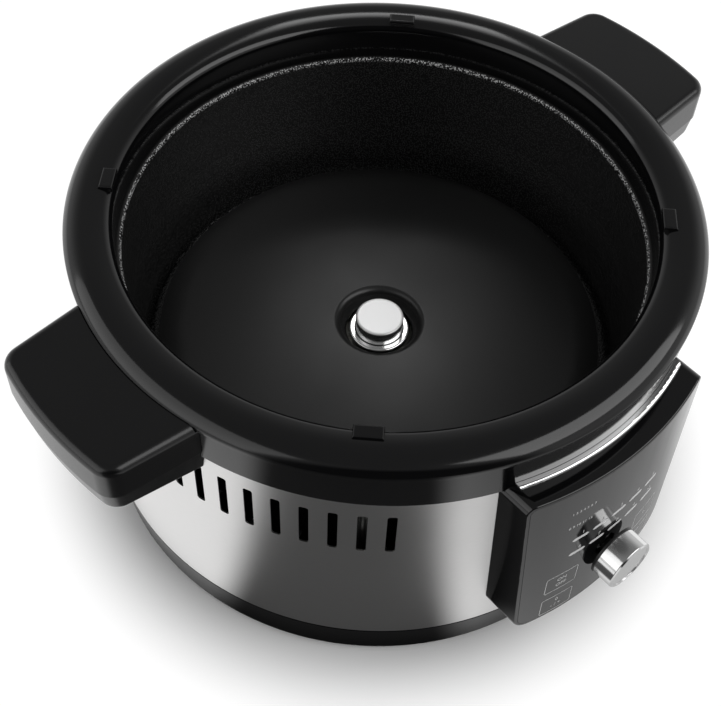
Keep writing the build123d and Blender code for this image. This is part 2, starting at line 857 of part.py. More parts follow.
# Sensor sleeve: bright tube with a rolled lip, standing in the bracket
with BuildPart() as sensor_sleeve:
    with Locations((0, 0, bracket_floor)):
        Cylinder(sleeve_outer, sleeve_top - bracket_floor, align=standing)
    with Locations((0, 0, sleeve_top)):
        Cylinder(sleeve_lip_radius, sleeve_lip_height, align=hanging)
    fillet(sensor_sleeve.edges().group_by(Axis.Z)[-1], sleeve_lip_round)
    with Locations((0, 0, bracket_floor)):
        Cylinder(
            sleeve_inner, sleeve_top - bracket_floor, align=standing, mode=Mode.SUBTRACT
        )

# Sensor cap: drawn cup, closed above
with BuildPart() as sensor_cap:
    with Locations((0, 0, cap_bottom)):
        Cylinder(cap_radius, cap_length, align=standing)
    fillet(sensor_cap.edges().group_by(Axis.Z)[-1], cap_round)
    with Locations((0, 0, cap_bottom)):
        Cylinder(cap_inner, cap_length - cap_crown, align=standing, mode=Mode.SUBTRACT)

# Sensor stem: holder under the cap's crown, rod, and the clip below the bracket
with BuildPart() as sensor_stem:
    with Locations((0, 0, holder_bottom)):
        Cylinder(holder_radius, holder_height, align=standing)
        Cylinder(stem_radius, holder_bottom - bracket_under + stem_tail, align=hanging)
    with Locations((0, 0, bracket_under - seat_gap)):
        Cylinder(stem_clip_radius, stem_clip_height, align=hanging)

# Sensor bracket: pressed cup under the well's floor
with BuildPart() as sensor_bracket:
    with Locations((0, 0, bracket_under)):
        Cylinder(bracket_radius + bracket_wall, well_under - bracket_under, align=standing)
    fillet(sensor_bracket.edges().group_by(Axis.Z)[0], bracket_round)
    with Locations((0, 0, well_under)):
        Cylinder(bracket_flange, bracket_wall, align=hanging)
        Cylinder(bracket_radius, bracket_drop, align=hanging, mode=Mode.SUBTRACT)
        with PolarLocations(rivet_circle, rivet_count, rivet_start):
            Cylinder(rivet_hole, bracket_wall, align=hanging, mode=Mode.SUBTRACT)
    with Locations((0, 0, bracket_under)):
        Cylinder(stem_radius + slide_gap, bracket_wall, align=standing, mode=Mode.SUBTRACT)

# Rivets that hold the bracket to the well
with BuildPart() as bracket_rivets:
    with PolarLocations(rivet_circle, rivet_count, rivet_start):
        with Locations((0, 0, well_under - bracket_wall)):
            Cylinder(rivet_radius, bracket_wall + well_wall, align=standing)
            Cylinder(rivet_head_radius, rivet_head_height, align=hanging)
        with Locations((0, 0, well_bottom)):
            Cylinder(rivet_head_radius, rivet_head_height, align=standing)


def spring_point(share):
    """Middle of the spring's wire at one share of its length."""
    low = bracket_floor + spring_wire + seat_gap
    high = holder_bottom - spring_wire - seat_gap
    angle = 2 * pi * spring_turns * share
    flattened = share - spring_flat_share * sin(2 * pi * share) / (2 * pi)
    height = low + (high - low) * flattened
    return Vector(spring_radius * cos(angle), spring_radius * sin(angle), height)


def spring_direction(share):
    """Direction of the spring's wire at one share of its length."""
    step_share = 1e-5
    ahead = spring_point(share + step_share)
    behind = spring_point(share - step_share)
    return (ahead - behind).normalized()


def biarc_joint(start, start_way, end, end_way):
    """Point where two arcs meet that leave the start and reach the end in given directions."""
    chord = end - start
    both = start_way + end_way
    bend = 2 * (1 - start_way.dot(end_way))
    reach = (-chord.dot(both) + sqrt(chord.dot(both) ** 2 + bend * chord.dot(chord))) / bend
    return (start + start_way * reach + end - end_way * reach) / 2


# Sensor spring: open coil whose end turns lie flatter, swept on quarter turns of two arcs
quarters = 4 * spring_turns
with BuildPart() as sensor_spring:
    with BuildLine() as spring_line:
        for quarter in range(quarters):
            first = spring_point(quarter / quarters)
            last = spring_point((quarter + 1) / quarters)
            first_way = spring_direction(quarter / quarters)
            last_way = spring_direction((quarter + 1) / quarters)
            joint = biarc_joint(first, first_way, last, last_way)
            near_arc = TangentArc(first, joint, tangent=first_way)
            TangentArc(joint, last, tangent=near_arc % 1)
    with BuildSketch(Plane(origin=spring_point(0), z_dir=spring_direction(0))):
        Circle(spring_wire)
    sweep(path=spring_line.line)

turn_share = 1 / spring_turns
turn_gaps = []
for sample in range(spring_samples):
    share = sample / spring_samples * (1 - turn_share)
    turn_gaps.append((spring_point(share + turn_share) - spring_point(share)).length)
print(f"sensor spring: least gap between turns {min(turn_gaps) - 2 * spring_wire:.2f} mm")

# Thermal cut-out: disc under the plate, held by two ears
with BuildPart() as thermal_cutout:
    with Locations((port_circle, 0, plate_bottom)):
        Cylinder(cutout_radius, cutout_height, align=hanging)
        Box(cutout_ear_width, cutout_ear_length, cutout_ear_height, align=hanging)
        with GridLocations(0, cutout_screw_pitch, 1, 2):
            Cylinder(
                cutout_screw_radius + seat_gap,
                cutout_ear_height,
                align=hanging,
                mode=Mode.SUBTRACT,
            )

# Small screws through the cut-out's ears
with BuildPart() as cutout_screws:
    with Locations((port_circle, 0, plate_bottom - cutout_ear_height)):
        with GridLocations(0, cutout_screw_pitch, 1, 2):
            Cylinder(
                cutout_screw_radius, cutout_screw_bite + cutout_ear_height, align=standing
            )
            Cylinder(cutout_screw_head, cutout_screw_radius, align=hanging)

# Thermal fuse: small tube held against the plate by its clip
with BuildPart() as thermal_fuse:
    with Locations((-port_circle, 0, plate_bottom - fuse_drop)):
        Cylinder(fuse_radius, fuse_length, rotation=(90, 0, 0))

# Clip round the fuse
with BuildPart() as fuse_clip:
    with Locations((-port_circle, 0, plate_bottom)):
        Box(fuse_clip_width, fuse_clip_length, fuse_clip_height, align=hanging)
    with Locations((-port_circle, 0, plate_bottom - fuse_drop)):
        Cylinder(
            fuse_radius + seat_gap, fuse_clip_length, rotation=(90, 0, 0), mode=Mode.SUBTRACT
        )

# Plan of one handle, with its rounded outer corners
with BuildSketch() as handle_plan:
    with BuildLine():
        Polyline(
            (handle_start, -handle_root_width / 2),
            (handle_reach + overrun, -handle_tip_width / 2),
            (handle_reach + overrun, handle_tip_width / 2),
            (handle_start, handle_root_width / 2),
            close=True,
        )
    make_face()
    Circle(handle_reach, mode=Mode.INTERSECT)
    fillet(handle_plan.vertices().sort_by(Axis.X)[-2:], handle_corner)

# The same plan inside the shell's walls
with BuildSketch() as handle_hollow:
    add(handle_plan.sketch)
    offset(amount=-handle_wall)
    Circle(handle_hollow_radius, mode=Mode.SUBTRACT)

# Plan of the underside, a small step inside the shell
with BuildSketch() as underside_plan:
    add(handle_plan.sketch)
    offset(amount=-handle_step)


def below_slope(rise):
    """Space under the handle's sloping underside, raised by one distance."""
    slope = Plane(
        origin=(handle_start, 0, handle_bottom),
        x_dir=(cos(radians(handle_slope)), 0, sin(radians(handle_slope))),
        z_dir=(-sin(radians(handle_slope)), 0, cos(radians(handle_slope))),
    )
    with BuildPart() as space:
        with Locations(slope.offset(rise)):
            Box(handle_reach, 2 * handle_root_width, handle_height, align=hanging)
    return space.part


# Hollow of the underside
with BuildPart() as underside_hollow:
    with BuildSketch(Plane.XY.offset(handle_parting)):
        add(handle_hollow.sketch)
    extrude(amount=-handle_under_depth, taper=handle_draft)
    add(below_slope(handle_wall), mode=Mode.SUBTRACT)

# Right handle, upper shell
with BuildPart() as right_handle_shell:
    with BuildSketch(Plane.XY.offset(handle_parting)):
        add(handle_plan.sketch)
    extrude(amount=handle_top - handle_parting)
    top_edges = right_handle_shell.faces().sort_by(Axis.Z)[-1].edges()
    fillet(top_edges.sort_by(Axis.X)[1:], handle_edge)
    with BuildSketch(Plane.XY.offset(handle_parting)):
        add(handle_hollow.sketch)
    extrude(amount=handle_top - handle_parting - handle_wall, mode=Mode.SUBTRACT)
    with Locations((handle_boss_place, 0, handle_parting)):
        with GridLocations(0, handle_boss_spread, 1, 2):
            Cylinder(
                handle_boss_radius, handle_top - handle_parting - handle_wall, align=standing
            )
            Cylinder(screw_hole, screw_bite + seat_gap, align=standing, mode=Mode.SUBTRACT)
    for half in handle_screw_halves:
        with Locations(radial_plane(half, handle_screw_height, skirt_inner)):
            Cylinder(
                screw_hole,
                collar_wall + seat_gap + handle_root_wall + overrun,
                align=standing,
                mode=Mode.SUBTRACT,
            )
    add(body_envelope.part, mode=Mode.SUBTRACT)

# Right handle, underside: drafted tray that rises to the tip, closed by the shell
with BuildPart() as right_handle_underside:
    with BuildSketch(Plane.XY.offset(handle_parting)):
        add(underside_plan.sketch)
    extrude(amount=-handle_under_depth, taper=handle_draft)
    add(below_slope(0), mode=Mode.SUBTRACT)
    low_edges = right_handle_underside.faces().sort_by(Axis.Z)[0].edges()
    fillet(low_edges.sort_by(Axis.X)[1:], handle_under_edge)
    add(underside_hollow.part, mode=Mode.SUBTRACT)
    with Locations((handle_boss_place, 0, handle_parting)):
        with GridLocations(0, handle_boss_spread, 1, 2):
            Cylinder(handle_boss_radius, handle_under_depth - handle_wall, align=hanging)
            Cylinder(screw_hole, handle_under_depth, align=hanging, mode=Mode.SUBTRACT)
    with Locations((handle_boss_place, 0, handle_bottom)):
        with GridLocations(0, handle_boss_spread, 1, 2):
            Cylinder(
                screw_head_radius + seat_gap, handle_recess, align=standing, mode=Mode.SUBTRACT
            )
    add(body_envelope.part, mode=Mode.SUBTRACT)

# Left handle, mirrored
with BuildPart() as left_handle_shell:
    mirror(right_handle_shell.part, about=Plane.YZ)
with BuildPart() as left_handle_underside:
    mirror(right_handle_underside.part, about=Plane.YZ)

# Handle screws: two outwards from inside the skirt, two upwards from below
with BuildPart() as handle_screws:
    for handle_angle in handle_angles:
        for half in handle_screw_halves:
            root = radial_plane(handle_angle + half, handle_screw_height, skirt_inner - seat_gap)
            with Locations(root):
                screw(collar_wall + handle_root_wall)
    for side in (-1, 1):
        with Locations((side * handle_boss_place, 0, handle_bottom + handle_recess)):
            with GridLocations(0, handle_boss_spread, 1, 2):
                screw(handle_under_depth - handle_recess + screw_bite)

# Posts for the control board and bosses for the bezel's own screws
with BuildPart() as bezel_posts:
    with BuildSketch(front_view.offset(board_front)):
        with Locations((0, panel_middle)):
            with GridLocations(board_hole_x, board_hole_z, 2, 2):
                Circle(board_post_radius)
    extrude(amount=panel_reach - board_front)
    for boss_height in panel_boss_heights:
        for boss_angle in panel_boss_places:
            place = radial_plane(panel_angle + boss_angle, boss_height, band_radius + seat_gap)
            with Locations(place):
                Cylinder(panel_boss_radius, panel_reach - band_radius, align=standing)
    with BuildSketch(front_view):
        with BuildLine():
            core_depth = (fascia_rear + backing_rear) / 2
            Polyline(
                (0, panel_bottom),
                (panel_front_bottom - core_depth, panel_bottom),
                (panel_front_top - core_depth, panel_top),
                (0, panel_top),
                close=True,
            )
        make_face()
    revolve(axis=Axis.Z, mode=Mode.INTERSECT)


def trim_arc(gap):
    """Plan of the trim strip behind the ledge, grown by one gap."""
    Circle(trim_outer + gap)
    Circle(trim_inner - gap, mode=Mode.SUBTRACT)
    with Locations((0, -trim_outer)):
        Rectangle(
            panel_top_width - 2 * panel_corner + 2 * gap, 2 * trim_outer, mode=Mode.INTERSECT
        )


# Control panel bezel: curved housing with a backing wall, posts and light windows
with BuildPart() as panel_bezel:
    add(panel_slab(0, 0, panel_full_depth))
    add(panel_slab(panel_frame, -overrun, fascia_rear), mode=Mode.SUBTRACT)
    fillet(panel_bezel.faces().sort_by(Axis.Y)[0].outer_wire().edges(), panel_edge)
    add(body_envelope.part, mode=Mode.SUBTRACT)
    add(panel_slab(panel_wall, backing_rear, panel_full_depth), mode=Mode.SUBTRACT)
    add(bezel_posts.part)
    with BuildSketch(Plane.XY.offset(trim_bottom)):
        trim_arc(seat_gap)
    extrude(amount=trim_height, mode=Mode.SUBTRACT)
    with BuildSketch(front_view.offset(board_front)):
        with Locations((0, guide_middle)):
            with GridLocations(cell_x, cell_z, window_columns, window_rows):
                Rectangle(cell_x * window_share, cell_z * window_share / 2)
        with Locations((0, knob_height)):
            Circle(bush_hole)
    extrude(amount=panel_reach - board_front, mode=Mode.SUBTRACT)
    with BuildSketch(front_view.offset(board_front)):
        with Locations((0, panel_middle)):
            with GridLocations(board_hole_x, board_hole_z, 2, 2):
                Circle(screw_hole)
    extrude(amount=board_gap + screw_radius / 2, mode=Mode.SUBTRACT)
    for boss_height in panel_boss_heights:
        for boss_angle in panel_boss_places:
            place = radial_plane(panel_angle + boss_angle, boss_height, band_radius)
            with Locations(place):
                Cylinder(screw_hole, screw_bite + seat_gap, align=standing, mode=Mode.SUBTRACT)

# Glossy fascia with the knob's hole
with BuildPart() as panel_fascia:
    add(panel_slab(panel_frame + seat_gap, 0, fascia_thickness))
    with BuildSketch(front_view.offset(board_front)):
        with Locations((0, knob_height)):
            Circle(bush_hole)
    extrude(amount=panel_reach - board_front, mode=Mode.SUBTRACT)

# Bright trim strip along the back of the ledge, its outer edge rounded
with BuildPart() as panel_trim_strip:
    with BuildSketch(Plane.XY.offset(trim_bottom)):
        trim_arc(0)
    extrude(amount=trim_height)
    top_arcs = panel_trim_strip.faces().sort_by(Axis.Z)[-1].edges().filter_by(GeomType.CIRCLE)
    fillet(top_arcs.sort_by(SortBy.RADIUS)[-1], trim_round)

# Bezel screws from inside the steel band
with BuildPart() as bezel_screws:
    for boss_height in panel_boss_heights:
        for boss_angle in panel_boss_places:
            place = radial_plane(panel_angle + boss_angle, boss_height, band_inner - seat_gap)
            with Locations(place):
                screw(band_wall + screw_bite)

# Control board
with BuildPart() as control_board:
    with BuildSketch(front_view.offset(board_rear)):
        with Locations((0, panel_middle)):
            Rectangle(board_width, board_height)
            with GridLocations(board_hole_x, board_hole_z, 2, 2):
                Circle(screw_hole, mode=Mode.SUBTRACT)
    extrude(amount=board_wall)

# Screws that hold the control board to the bezel's posts
with BuildPart() as control_board_screws:
    with Locations(front_view.offset(board_rear)):
        with Locations((0, panel_middle, 0)):
            with GridLocations(board_hole_x, board_hole_z, 2, 2):
                screw(board_wall + board_gap)

# Light guide: a grid of cells in front of the display lamps
with BuildPart() as light_guide:
    with BuildSketch(front_view.offset(board_front)):
        with Locations((0, guide_middle)):
            Rectangle(guide_width, guide_height)
            with GridLocations(cell_x, cell_z, window_columns, window_rows):
                Rectangle(cell_x - guide_wall, cell_z - guide_wall, mode=Mode.SUBTRACT)
    extrude(amount=guide_depth)

# Touch pads on the control board
with BuildPart() as touch_pads:
    with BuildSketch(front_view.offset(board_front)):
        with Locations((0, pad_middle)):
            with GridLocations(pad_spread, pad_pitch, pad_columns, pad_rows):
                Circle(pad_radius)
    extrude(amount=pad_height)

# Encoder body with its bush
with BuildPart() as encoder_body:
    with BuildSketch(front_view.offset(board_front)):
        with Locations((0, knob_height)):
            Rectangle(encoder_width, encoder_width)
    extrude(amount=encoder_depth)
    with BuildSketch(front_view.offset(encoder_front)):
        with Locations((0, knob_height)):
            Circle(bush_radius)
    extrude(amount=bush_front - encoder_front)
    with BuildSketch(front_view.offset(board_front)):
        with Locations((0, knob_height)):
            Circle(shaft_bore)
    extrude(amount=bush_front - board_front, mode=Mode.SUBTRACT)

# Encoder plunger behind the shaft
with BuildPart() as encoder_plunger:
    with BuildSketch(front_view.offset(plunger_rear)):
        with Locations((0, knob_height)):
            Circle(plunger_radius)
    extrude(amount=plunger_length)

# Encoder shaft, flattened where the knob grips it
with BuildPart() as encoder_shaft:
    with BuildSketch(front_view.offset(shaft_rear)):
        with Locations((0, knob_height)):
            Circle(shaft_radius)
    extrude(amount=shaft_front - shaft_rear)
    with BuildSketch(front_view.offset(flat_start)):
        with Locations((0, flat_middle)):
            Rectangle(2 * shaft_radius, 2 * shaft_radius)
    extrude(amount=shaft_in_knob, mode=Mode.SUBTRACT)

# Metal control knob: dished face, hollow back and a hub with a flatted bore
with BuildPart() as control_knob:
    with BuildSketch(front_view.offset(knob_rear)):
        with Locations((0, knob_height)):
            Circle(knob_radius)
    extrude(amount=knob_length)
    chamfer(control_knob.faces().sort_by(Axis.Y)[0].edges(), knob_chamfer)
    with BuildSketch(front_view.offset(knob_front - knob_dish)):
        with Locations((0, knob_height)):
            Circle(knob_radius - knob_dish_margin)
    extrude(amount=knob_dish, mode=Mode.SUBTRACT)
    with BuildSketch(front_view.offset(knob_rear)):
        with Locations((0, knob_height)):
            Circle(knob_radius - knob_wall)
            Circle(knob_hub, mode=Mode.SUBTRACT)
    extrude(amount=knob_hollow, mode=Mode.SUBTRACT)
    with BuildSketch(front_view.offset(knob_rear)):
        with Locations((0, knob_height)):
            Circle(shaft_bore)
        with Locations((0, flat_middle + running_gap)):
            Rectangle(2 * bush_radius, 2 * shaft_radius, mode=Mode.SUBTRACT)
    extrude(amount=shaft_in_knob, mode=Mode.SUBTRACT)

# Dark ring that closes the knob's back
with BuildPart() as knob_base_ring:
    with BuildSketch(front_view.offset(ring_rear)):
        with Locations((0, knob_height)):
            Circle(ring_radius)
            Circle(ring_inner, mode=Mode.SUBTRACT)
    extrude(amount=ring_length)

# Power board on the tray's posts
with BuildPart() as power_board:
    with BuildSketch(Plane.XY.offset(power_bottom)):
        with Locations((0, -power_place)):
            Rectangle(power_width, power_depth)
            with GridLocations(power_hole_x, power_hole_y, 2, 2):
                Circle(screw_hole, mode=Mode.SUBTRACT)
    extrude(amount=board_wall)

# Screws down through the power board
with BuildPart() as board_screws:
    with Locations(Plane((0, -power_place, power_top), z_dir=(0, 0, -1))):
        with GridLocations(power_hole_x, power_hole_y, 2, 2):
            screw(board_wall + power_stand - overrun)

# Relay that switches the element
with BuildPart() as board_relay:
    with Locations((-component_pitch, -power_place, power_top)):
        Box(relay_width, relay_depth, relay_height, align=standing)

# Transformer: winding between the lips of its core
with BuildPart() as board_transformer:
    with Locations((0, -power_place, power_top)):
        Box(
            transformer_width - 2 * core_lip,
            transformer_depth,
            transformer_height,
            align=standing,
        )
    with Locations((0, -power_place, power_top + (transformer_height - core_height) / 2)):
        Box(
            transformer_width,
            transformer_depth - 2 * core_lip,
            core_height,
            align=standing,
        )

# Filter capacitor
with BuildPart() as board_capacitor:
    with Locations((component_pitch, -power_place, power_top)):
        Box(capacitor_width, capacitor_depth, capacitor_height, align=standing)
    fillet(board_capacitor.edges().filter_by(Axis.Z), capacitor_round)

# Mains inlet surround, flat in front and curved to the band behind
with BuildPart() as inlet_surround:
    with BuildSketch(rear_view.offset(surround_rear)):
        with Locations((0, inlet_middle)):
            RectangleRounded(surround_width, surround_height, surround_corner)
    extrude(amount=surround_face - surround_rear)
    fillet(inlet_surround.faces().sort_by(Axis.Y)[-1].edges(), surround_round)
    with BuildSketch(rear_view.offset(surround_rear)):
        with Locations((0, inlet_middle)):
            Rectangle(inlet_width + 2 * seat_gap, inlet_height + 2 * seat_gap)
    extrude(amount=surround_face - surround_rear, mode=Mode.SUBTRACT)
    add(body_envelope.part, mode=Mode.SUBTRACT)

# Mains inlet socket with its flange, cavity and two side latches
with BuildPart() as inlet_socket:
    with BuildSketch(rear_view.offset(inlet_rear)):
        with Locations((0, inlet_middle)):
            Rectangle(inlet_width, inlet_height)
    extrude(amount=inlet_front - inlet_rear)
    with BuildSketch(rear_view.offset(surround_face)):
        with Locations((0, inlet_middle)):
            RectangleRounded(
                inlet_width + 2 * inlet_flange_margin,
                inlet_height + 2 * inlet_flange_margin,
                inlet_flange_margin,
            )
    extrude(amount=inlet_flange)
    with BuildSketch(rear_view.offset(latch_front)):
        with Locations((0, inlet_middle)):
            Rectangle(2 * latch_corner, latch_height)
    extrude(amount=-latch_length)
    with BuildSketch(rear_view.offset(socket_floor)):
        with BuildLine():
            half_width = socket_width / 2
            socket_low = inlet_middle - socket_height / 2
            socket_high = inlet_middle + socket_height / 2
            Polyline(
                (-half_width, socket_low),
                (half_width, socket_low),
                (half_width, socket_high - inlet_chamfer),
                (half_width - inlet_chamfer, socket_high),
                (inlet_chamfer - half_width, socket_high),
                (-half_width, socket_high - inlet_chamfer),
                close=True,
            )
        make_face()
    extrude(amount=socket_depth, mode=Mode.SUBTRACT)
    with BuildSketch(rear_view.offset(inlet_rear)):
        with Locations((0, inlet_middle)):
            with Locations(*pin_places):
                Rectangle(pin_width + 2 * seat_gap, pin_height + 2 * seat_gap)
    extrude(amount=socket_floor - inlet_rear, mode=Mode.SUBTRACT)

# The three pins of the inlet
with BuildPart() as inlet_pins:
    with BuildSketch(rear_view.offset(inlet_rear - pin_tail)):
        with Locations((0, inlet_middle)):
            with Locations(*pin_places):
                Rectangle(pin_width, pin_height)
    extrude(amount=socket_floor - inlet_rear + pin_tail + pin_length)

pieces = {
    "top_collar": top_collar,
    "pot_stop_blocks": pot_stop_blocks,
    "left_handle_shell": left_handle_shell,
    "right_handle_shell": right_handle_shell,
    "left_handle_underside": left_handle_underside,
    "right_handle_underside": right_handle_underside,
    "handle_screws": handle_screws,
    "steel_housing": steel_housing,
    "base_tray": base_tray,
    "rubber_feet": rubber_feet,
    "base_screws": base_screws,
    "tie_rods": tie_rods,
    "inner_well": inner_well,
    "heating_plate": heating_plate,
    "heating_element": heating_element,
    "element_terminals": element_terminals,
    "plate_legs": plate_legs,
    "plate_screws": plate_screws,
    "sensor_sleeve": sensor_sleeve,
    "sensor_cap": sensor_cap,
    "sensor_stem": sensor_stem,
    "sensor_spring": sensor_spring,
    "sensor_bracket": sensor_bracket,
    "bracket_rivets": bracket_rivets,
    "thermal_cutout": thermal_cutout,
    "cutout_screws": cutout_screws,
    "thermal_fuse": thermal_fuse,
    "fuse_clip": fuse_clip,
    "panel_bezel": panel_bezel,
    "panel_fascia": panel_fascia,
    "panel_trim_strip": panel_trim_strip,
    "bezel_screws": bezel_screws,
    "control_board": control_board,
    "control_board_screws": control_board_screws,
    "light_guide": light_guide,
    "touch_pads": touch_pads,
    "encoder_body": encoder_body,
    "encoder_plunger": encoder_plunger,
    "encoder_shaft": encoder_shaft,
    "control_knob": control_knob,
    "knob_base_ring": knob_base_ring,
    "power_board": power_board,
    "board_relay": board_relay,
    "board_transformer": board_transformer,
    "board_capacitor": board_capacitor,
    "board_screws": board_screws,
    "inlet_surround": inlet_surround,
    "inlet_socket": inlet_socket,
    "inlet_pins": inlet_pins,
}

os.makedirs("parts", exist_ok=True)
for name, piece in pieces.items():
    piece.part.label = name
    export_step(piece.part, f"parts/{name}.step")
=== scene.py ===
"""Looks of a countertop multicooker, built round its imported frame, in metres."""

from math import atan2, cos, pi, radians, sin, sqrt, tan

import bmesh
import bpy
from mathutils import Matrix, Vector


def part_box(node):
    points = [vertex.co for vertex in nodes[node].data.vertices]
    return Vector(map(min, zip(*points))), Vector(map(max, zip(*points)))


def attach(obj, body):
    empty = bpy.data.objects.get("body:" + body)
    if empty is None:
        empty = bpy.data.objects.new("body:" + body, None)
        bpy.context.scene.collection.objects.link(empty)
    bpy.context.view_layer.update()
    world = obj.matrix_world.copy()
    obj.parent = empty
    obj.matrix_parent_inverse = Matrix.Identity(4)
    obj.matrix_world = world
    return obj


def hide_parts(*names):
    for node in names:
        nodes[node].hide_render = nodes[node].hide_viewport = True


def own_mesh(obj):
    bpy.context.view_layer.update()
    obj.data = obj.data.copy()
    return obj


bl_info = {
    "name": "Countertop Multicooker",
    "version": (1, 0, 0),
    "blender": (4, 5, 0),
    "location": "View3D > Sidebar > Multicooker",
    "description": "Builds the looks of a countertop multicooker round its packed frame",
    "category": "Add Mesh",
}

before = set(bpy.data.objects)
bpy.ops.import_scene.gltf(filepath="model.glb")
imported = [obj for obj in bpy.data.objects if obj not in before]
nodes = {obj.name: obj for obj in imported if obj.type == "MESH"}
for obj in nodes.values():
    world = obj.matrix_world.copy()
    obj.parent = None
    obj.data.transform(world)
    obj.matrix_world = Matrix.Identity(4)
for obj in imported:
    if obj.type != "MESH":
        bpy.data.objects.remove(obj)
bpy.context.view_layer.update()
MM = 0.001
BODY = "cooker_body"

# Sizes in millimetres that the frame's boxes don't give
COLLAR_WIDTH = 24
LIP_REVEAL = 2.4
BAND_WALL = 0.8
PANEL_LEAN = 3.3
FASCIA_SHORT = 0.05

# Layout of the print in millimetres, across and up the panel
BAR_COLUMNS, BAR_ROWS = 5, 2
BAR_PITCH, BAR_DROP, BAR_MIDDLE = 12.5, 13.4, 105.4
KEY_REACH, UPPER_KEY, LOWER_KEY = 30.5, 75.2, 53.4
CAPITAL_SHARE = 0.7


def low(node):
    """Lowest corner of a CAD node, in millimetres."""
    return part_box(node)[0] / MM


def high(node):
    """Highest corner of a CAD node, in millimetres."""
    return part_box(node)[1] / MM


# Places read from the frame, in millimetres
rim_radius = high("top_collar").x
skirt_bottom = low("top_collar").z
crest_height = high("top_collar").z
band_top = high("steel_housing").z
band_bottom = low("steel_housing").z
band_radius = high("steel_housing").x
panel_top = high("panel_bezel").z
front_top = -low("panel_fascia").y - PANEL_LEAN + FASCIA_SHORT
front_slope = PANEL_LEAN / (panel_top - low("panel_bezel").z)


# Meshes

def new_object(name, mesh):
    """Object for a mesh, linked into the scene."""
    made = bpy.data.objects.new(name, mesh)
    bpy.context.scene.collection.objects.link(made)
    return made


def from_form(name, form):
    """Smooth-shaded object from a bmesh, which is freed."""
    mesh = bpy.data.meshes.new(name)
    bmesh.ops.recalc_face_normals(form, faces=form.faces)
    for face in form.faces:
        face.smooth = True
    form.to_mesh(mesh)
    form.free()
    return new_object(name, mesh)


def even_shading(piece):
    """Lets the broad faces of a piece decide how its small rounds are shaded."""
    modifier = piece.modifiers.new("even_shading", "WEIGHTED_NORMAL")
    modifier.keep_sharp = True
    modifier.weight = 80


def rounded(corners, steps=6):
    """Outline from (x, y, radius) corners, each turned into an arc of that radius."""
    outline = []
    for index, (x, y, radius) in enumerate(corners):
        here = Vector((x, y))
        before = Vector(corners[index - 1][:2]) - here
        after = Vector(corners[(index + 1) % len(corners)][:2]) - here
        if radius == 0 or before.length == 0 or after.length == 0:
            outline.append(here)
            continue
        half = before.angle(after) / 2
        reach = min(radius / tan(half), before.length * 0.49, after.length * 0.49)
        start = here + before.normalized() * reach
        end = here + after.normalized() * reach
        for step in range(steps + 1):
            share = step / steps
            outline.append(
                start * (1 - share) ** 2 + here * 2 * share * (1 - share) + end * share ** 2
            )
    return outline


def arc(start, end, way, steps):
    """Arc that leaves one (radius, height) point along a direction and meets another.

    Returns its points and the direction at its end.
    """
    first, last, way = Vector(start), Vector(end), Vector(way).normalized()
    chord = last - first
    left = Vector((-way.y, way.x))
    centre = first + left * (chord.length_squared / (2 * chord.dot(left)))
    swing = 2 * way.angle(chord) * (1 if chord.dot(left) > 0 else -1)
    turns = [Matrix.Rotation(swing * step / steps, 2) for step in range(steps + 1)]
    points = [centre + turn @ (first - centre) for turn in turns]
    return points, turns[-1] @ way


def lathe(name, outline, segments=192, axis_height=None):
    """Closed outline of (radius, height) points in millimetres, turned about an upright axis.

    With an axis height the axis lies along Y at that height, and heights become depths.
    """
    form = bmesh.new()
    rings = []
    for step in range(segments):
        angle = 2 * pi * step / segments
        ring = []
        for radius, height in outline:
            if axis_height is None:
                place = (radius * cos(angle), radius * sin(angle), height)
            else:
                place = (radius * cos(angle), height, axis_height + radius * sin(angle))
            ring.append(form.verts.new(Vector(place) * MM))
        rings.append(ring)
    count = len(outline)
    for step in range(segments):
        ring, following = rings[step], rings[(step + 1) % segments]
        for index in range(count):
            after = (index + 1) % count
            form.faces.new((ring[index], ring[after], following[after], following[index]))
    bmesh.ops.remove_doubles(form, verts=form.verts, dist=1e-7)
    bmesh.ops.dissolve_degenerate(form, edges=form.edges, dist=1e-8)
    piece = from_form(name, form)
    even_shading(piece)
    return piece


def clean_copy(node, name, edge=0.0, steps=2, sharp=32):
    """Copy of a CAD node with its triangles joined, smooth shading and eased edges."""
    mesh = nodes[node].data.copy()
    mesh.name = name
    mesh.materials.clear()
    form = bmesh.new()
    form.from_mesh(mesh)
    bmesh.ops.remove_doubles(form, verts=form.verts, dist=2e-6)
    bmesh.ops.dissolve_limit(
        form, angle_limit=radians(0.5), verts=form.verts, edges=form.edges
    )
    for face in form.faces:
        face.smooth = True
    for side in form.edges:
        side.smooth = side.calc_face_angle(0) < radians(sharp)
    form.to_mesh(mesh)
    form.free()
    piece = new_object(name, mesh)
    if edge:
        bevel = piece.modifiers.new("eased_edges", "BEVEL")
        bevel.width = edge * MM
        bevel.segments = steps
        bevel.limit_method = "ANGLE"
        bevel.angle_limit = radians(sharp)
        bevel.use_clamp_overlap = True
        bevel.harden_normals = False
    even_shading(piece)
    return piece


def fit(piece, material, replaced=(), body=BODY):
    """Gives a finished piece its material and its body, and hides the CAD nodes that it stands
    for.
    """
    if len(piece.data.materials) == 0:
        piece.data.materials.append(material)
    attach(piece, body)
    if replaced:
        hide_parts(*replaced)
    return piece


def dress(material, *names):
    """Gives CAD nodes that stay in view a better material."""
    for name in names:
        materials = nodes[name].data.materials
        materials.clear()
        materials.append(material)


# Materials

def node(tree, kind, inputs=None, **settings):
    """New shader or geometry node; an input takes a value or another node's output."""
    made = tree.nodes.new(kind)
    for name, value in settings.items():
        setattr(made, name, value)
    for key, value in (inputs or {}).items():
        if isinstance(value, bpy.types.NodeSocket):
            tree.links.new(value, made.inputs[key])
        else:
            made.inputs[key].default_value = value
    return made


def sum_of(tree, first, second, operation="ADD"):
    """Output of one arithmetic step in a tree."""
    return node(tree, "ShaderNodeMath", {0: first, 1: second}, operation=operation).outputs[0]


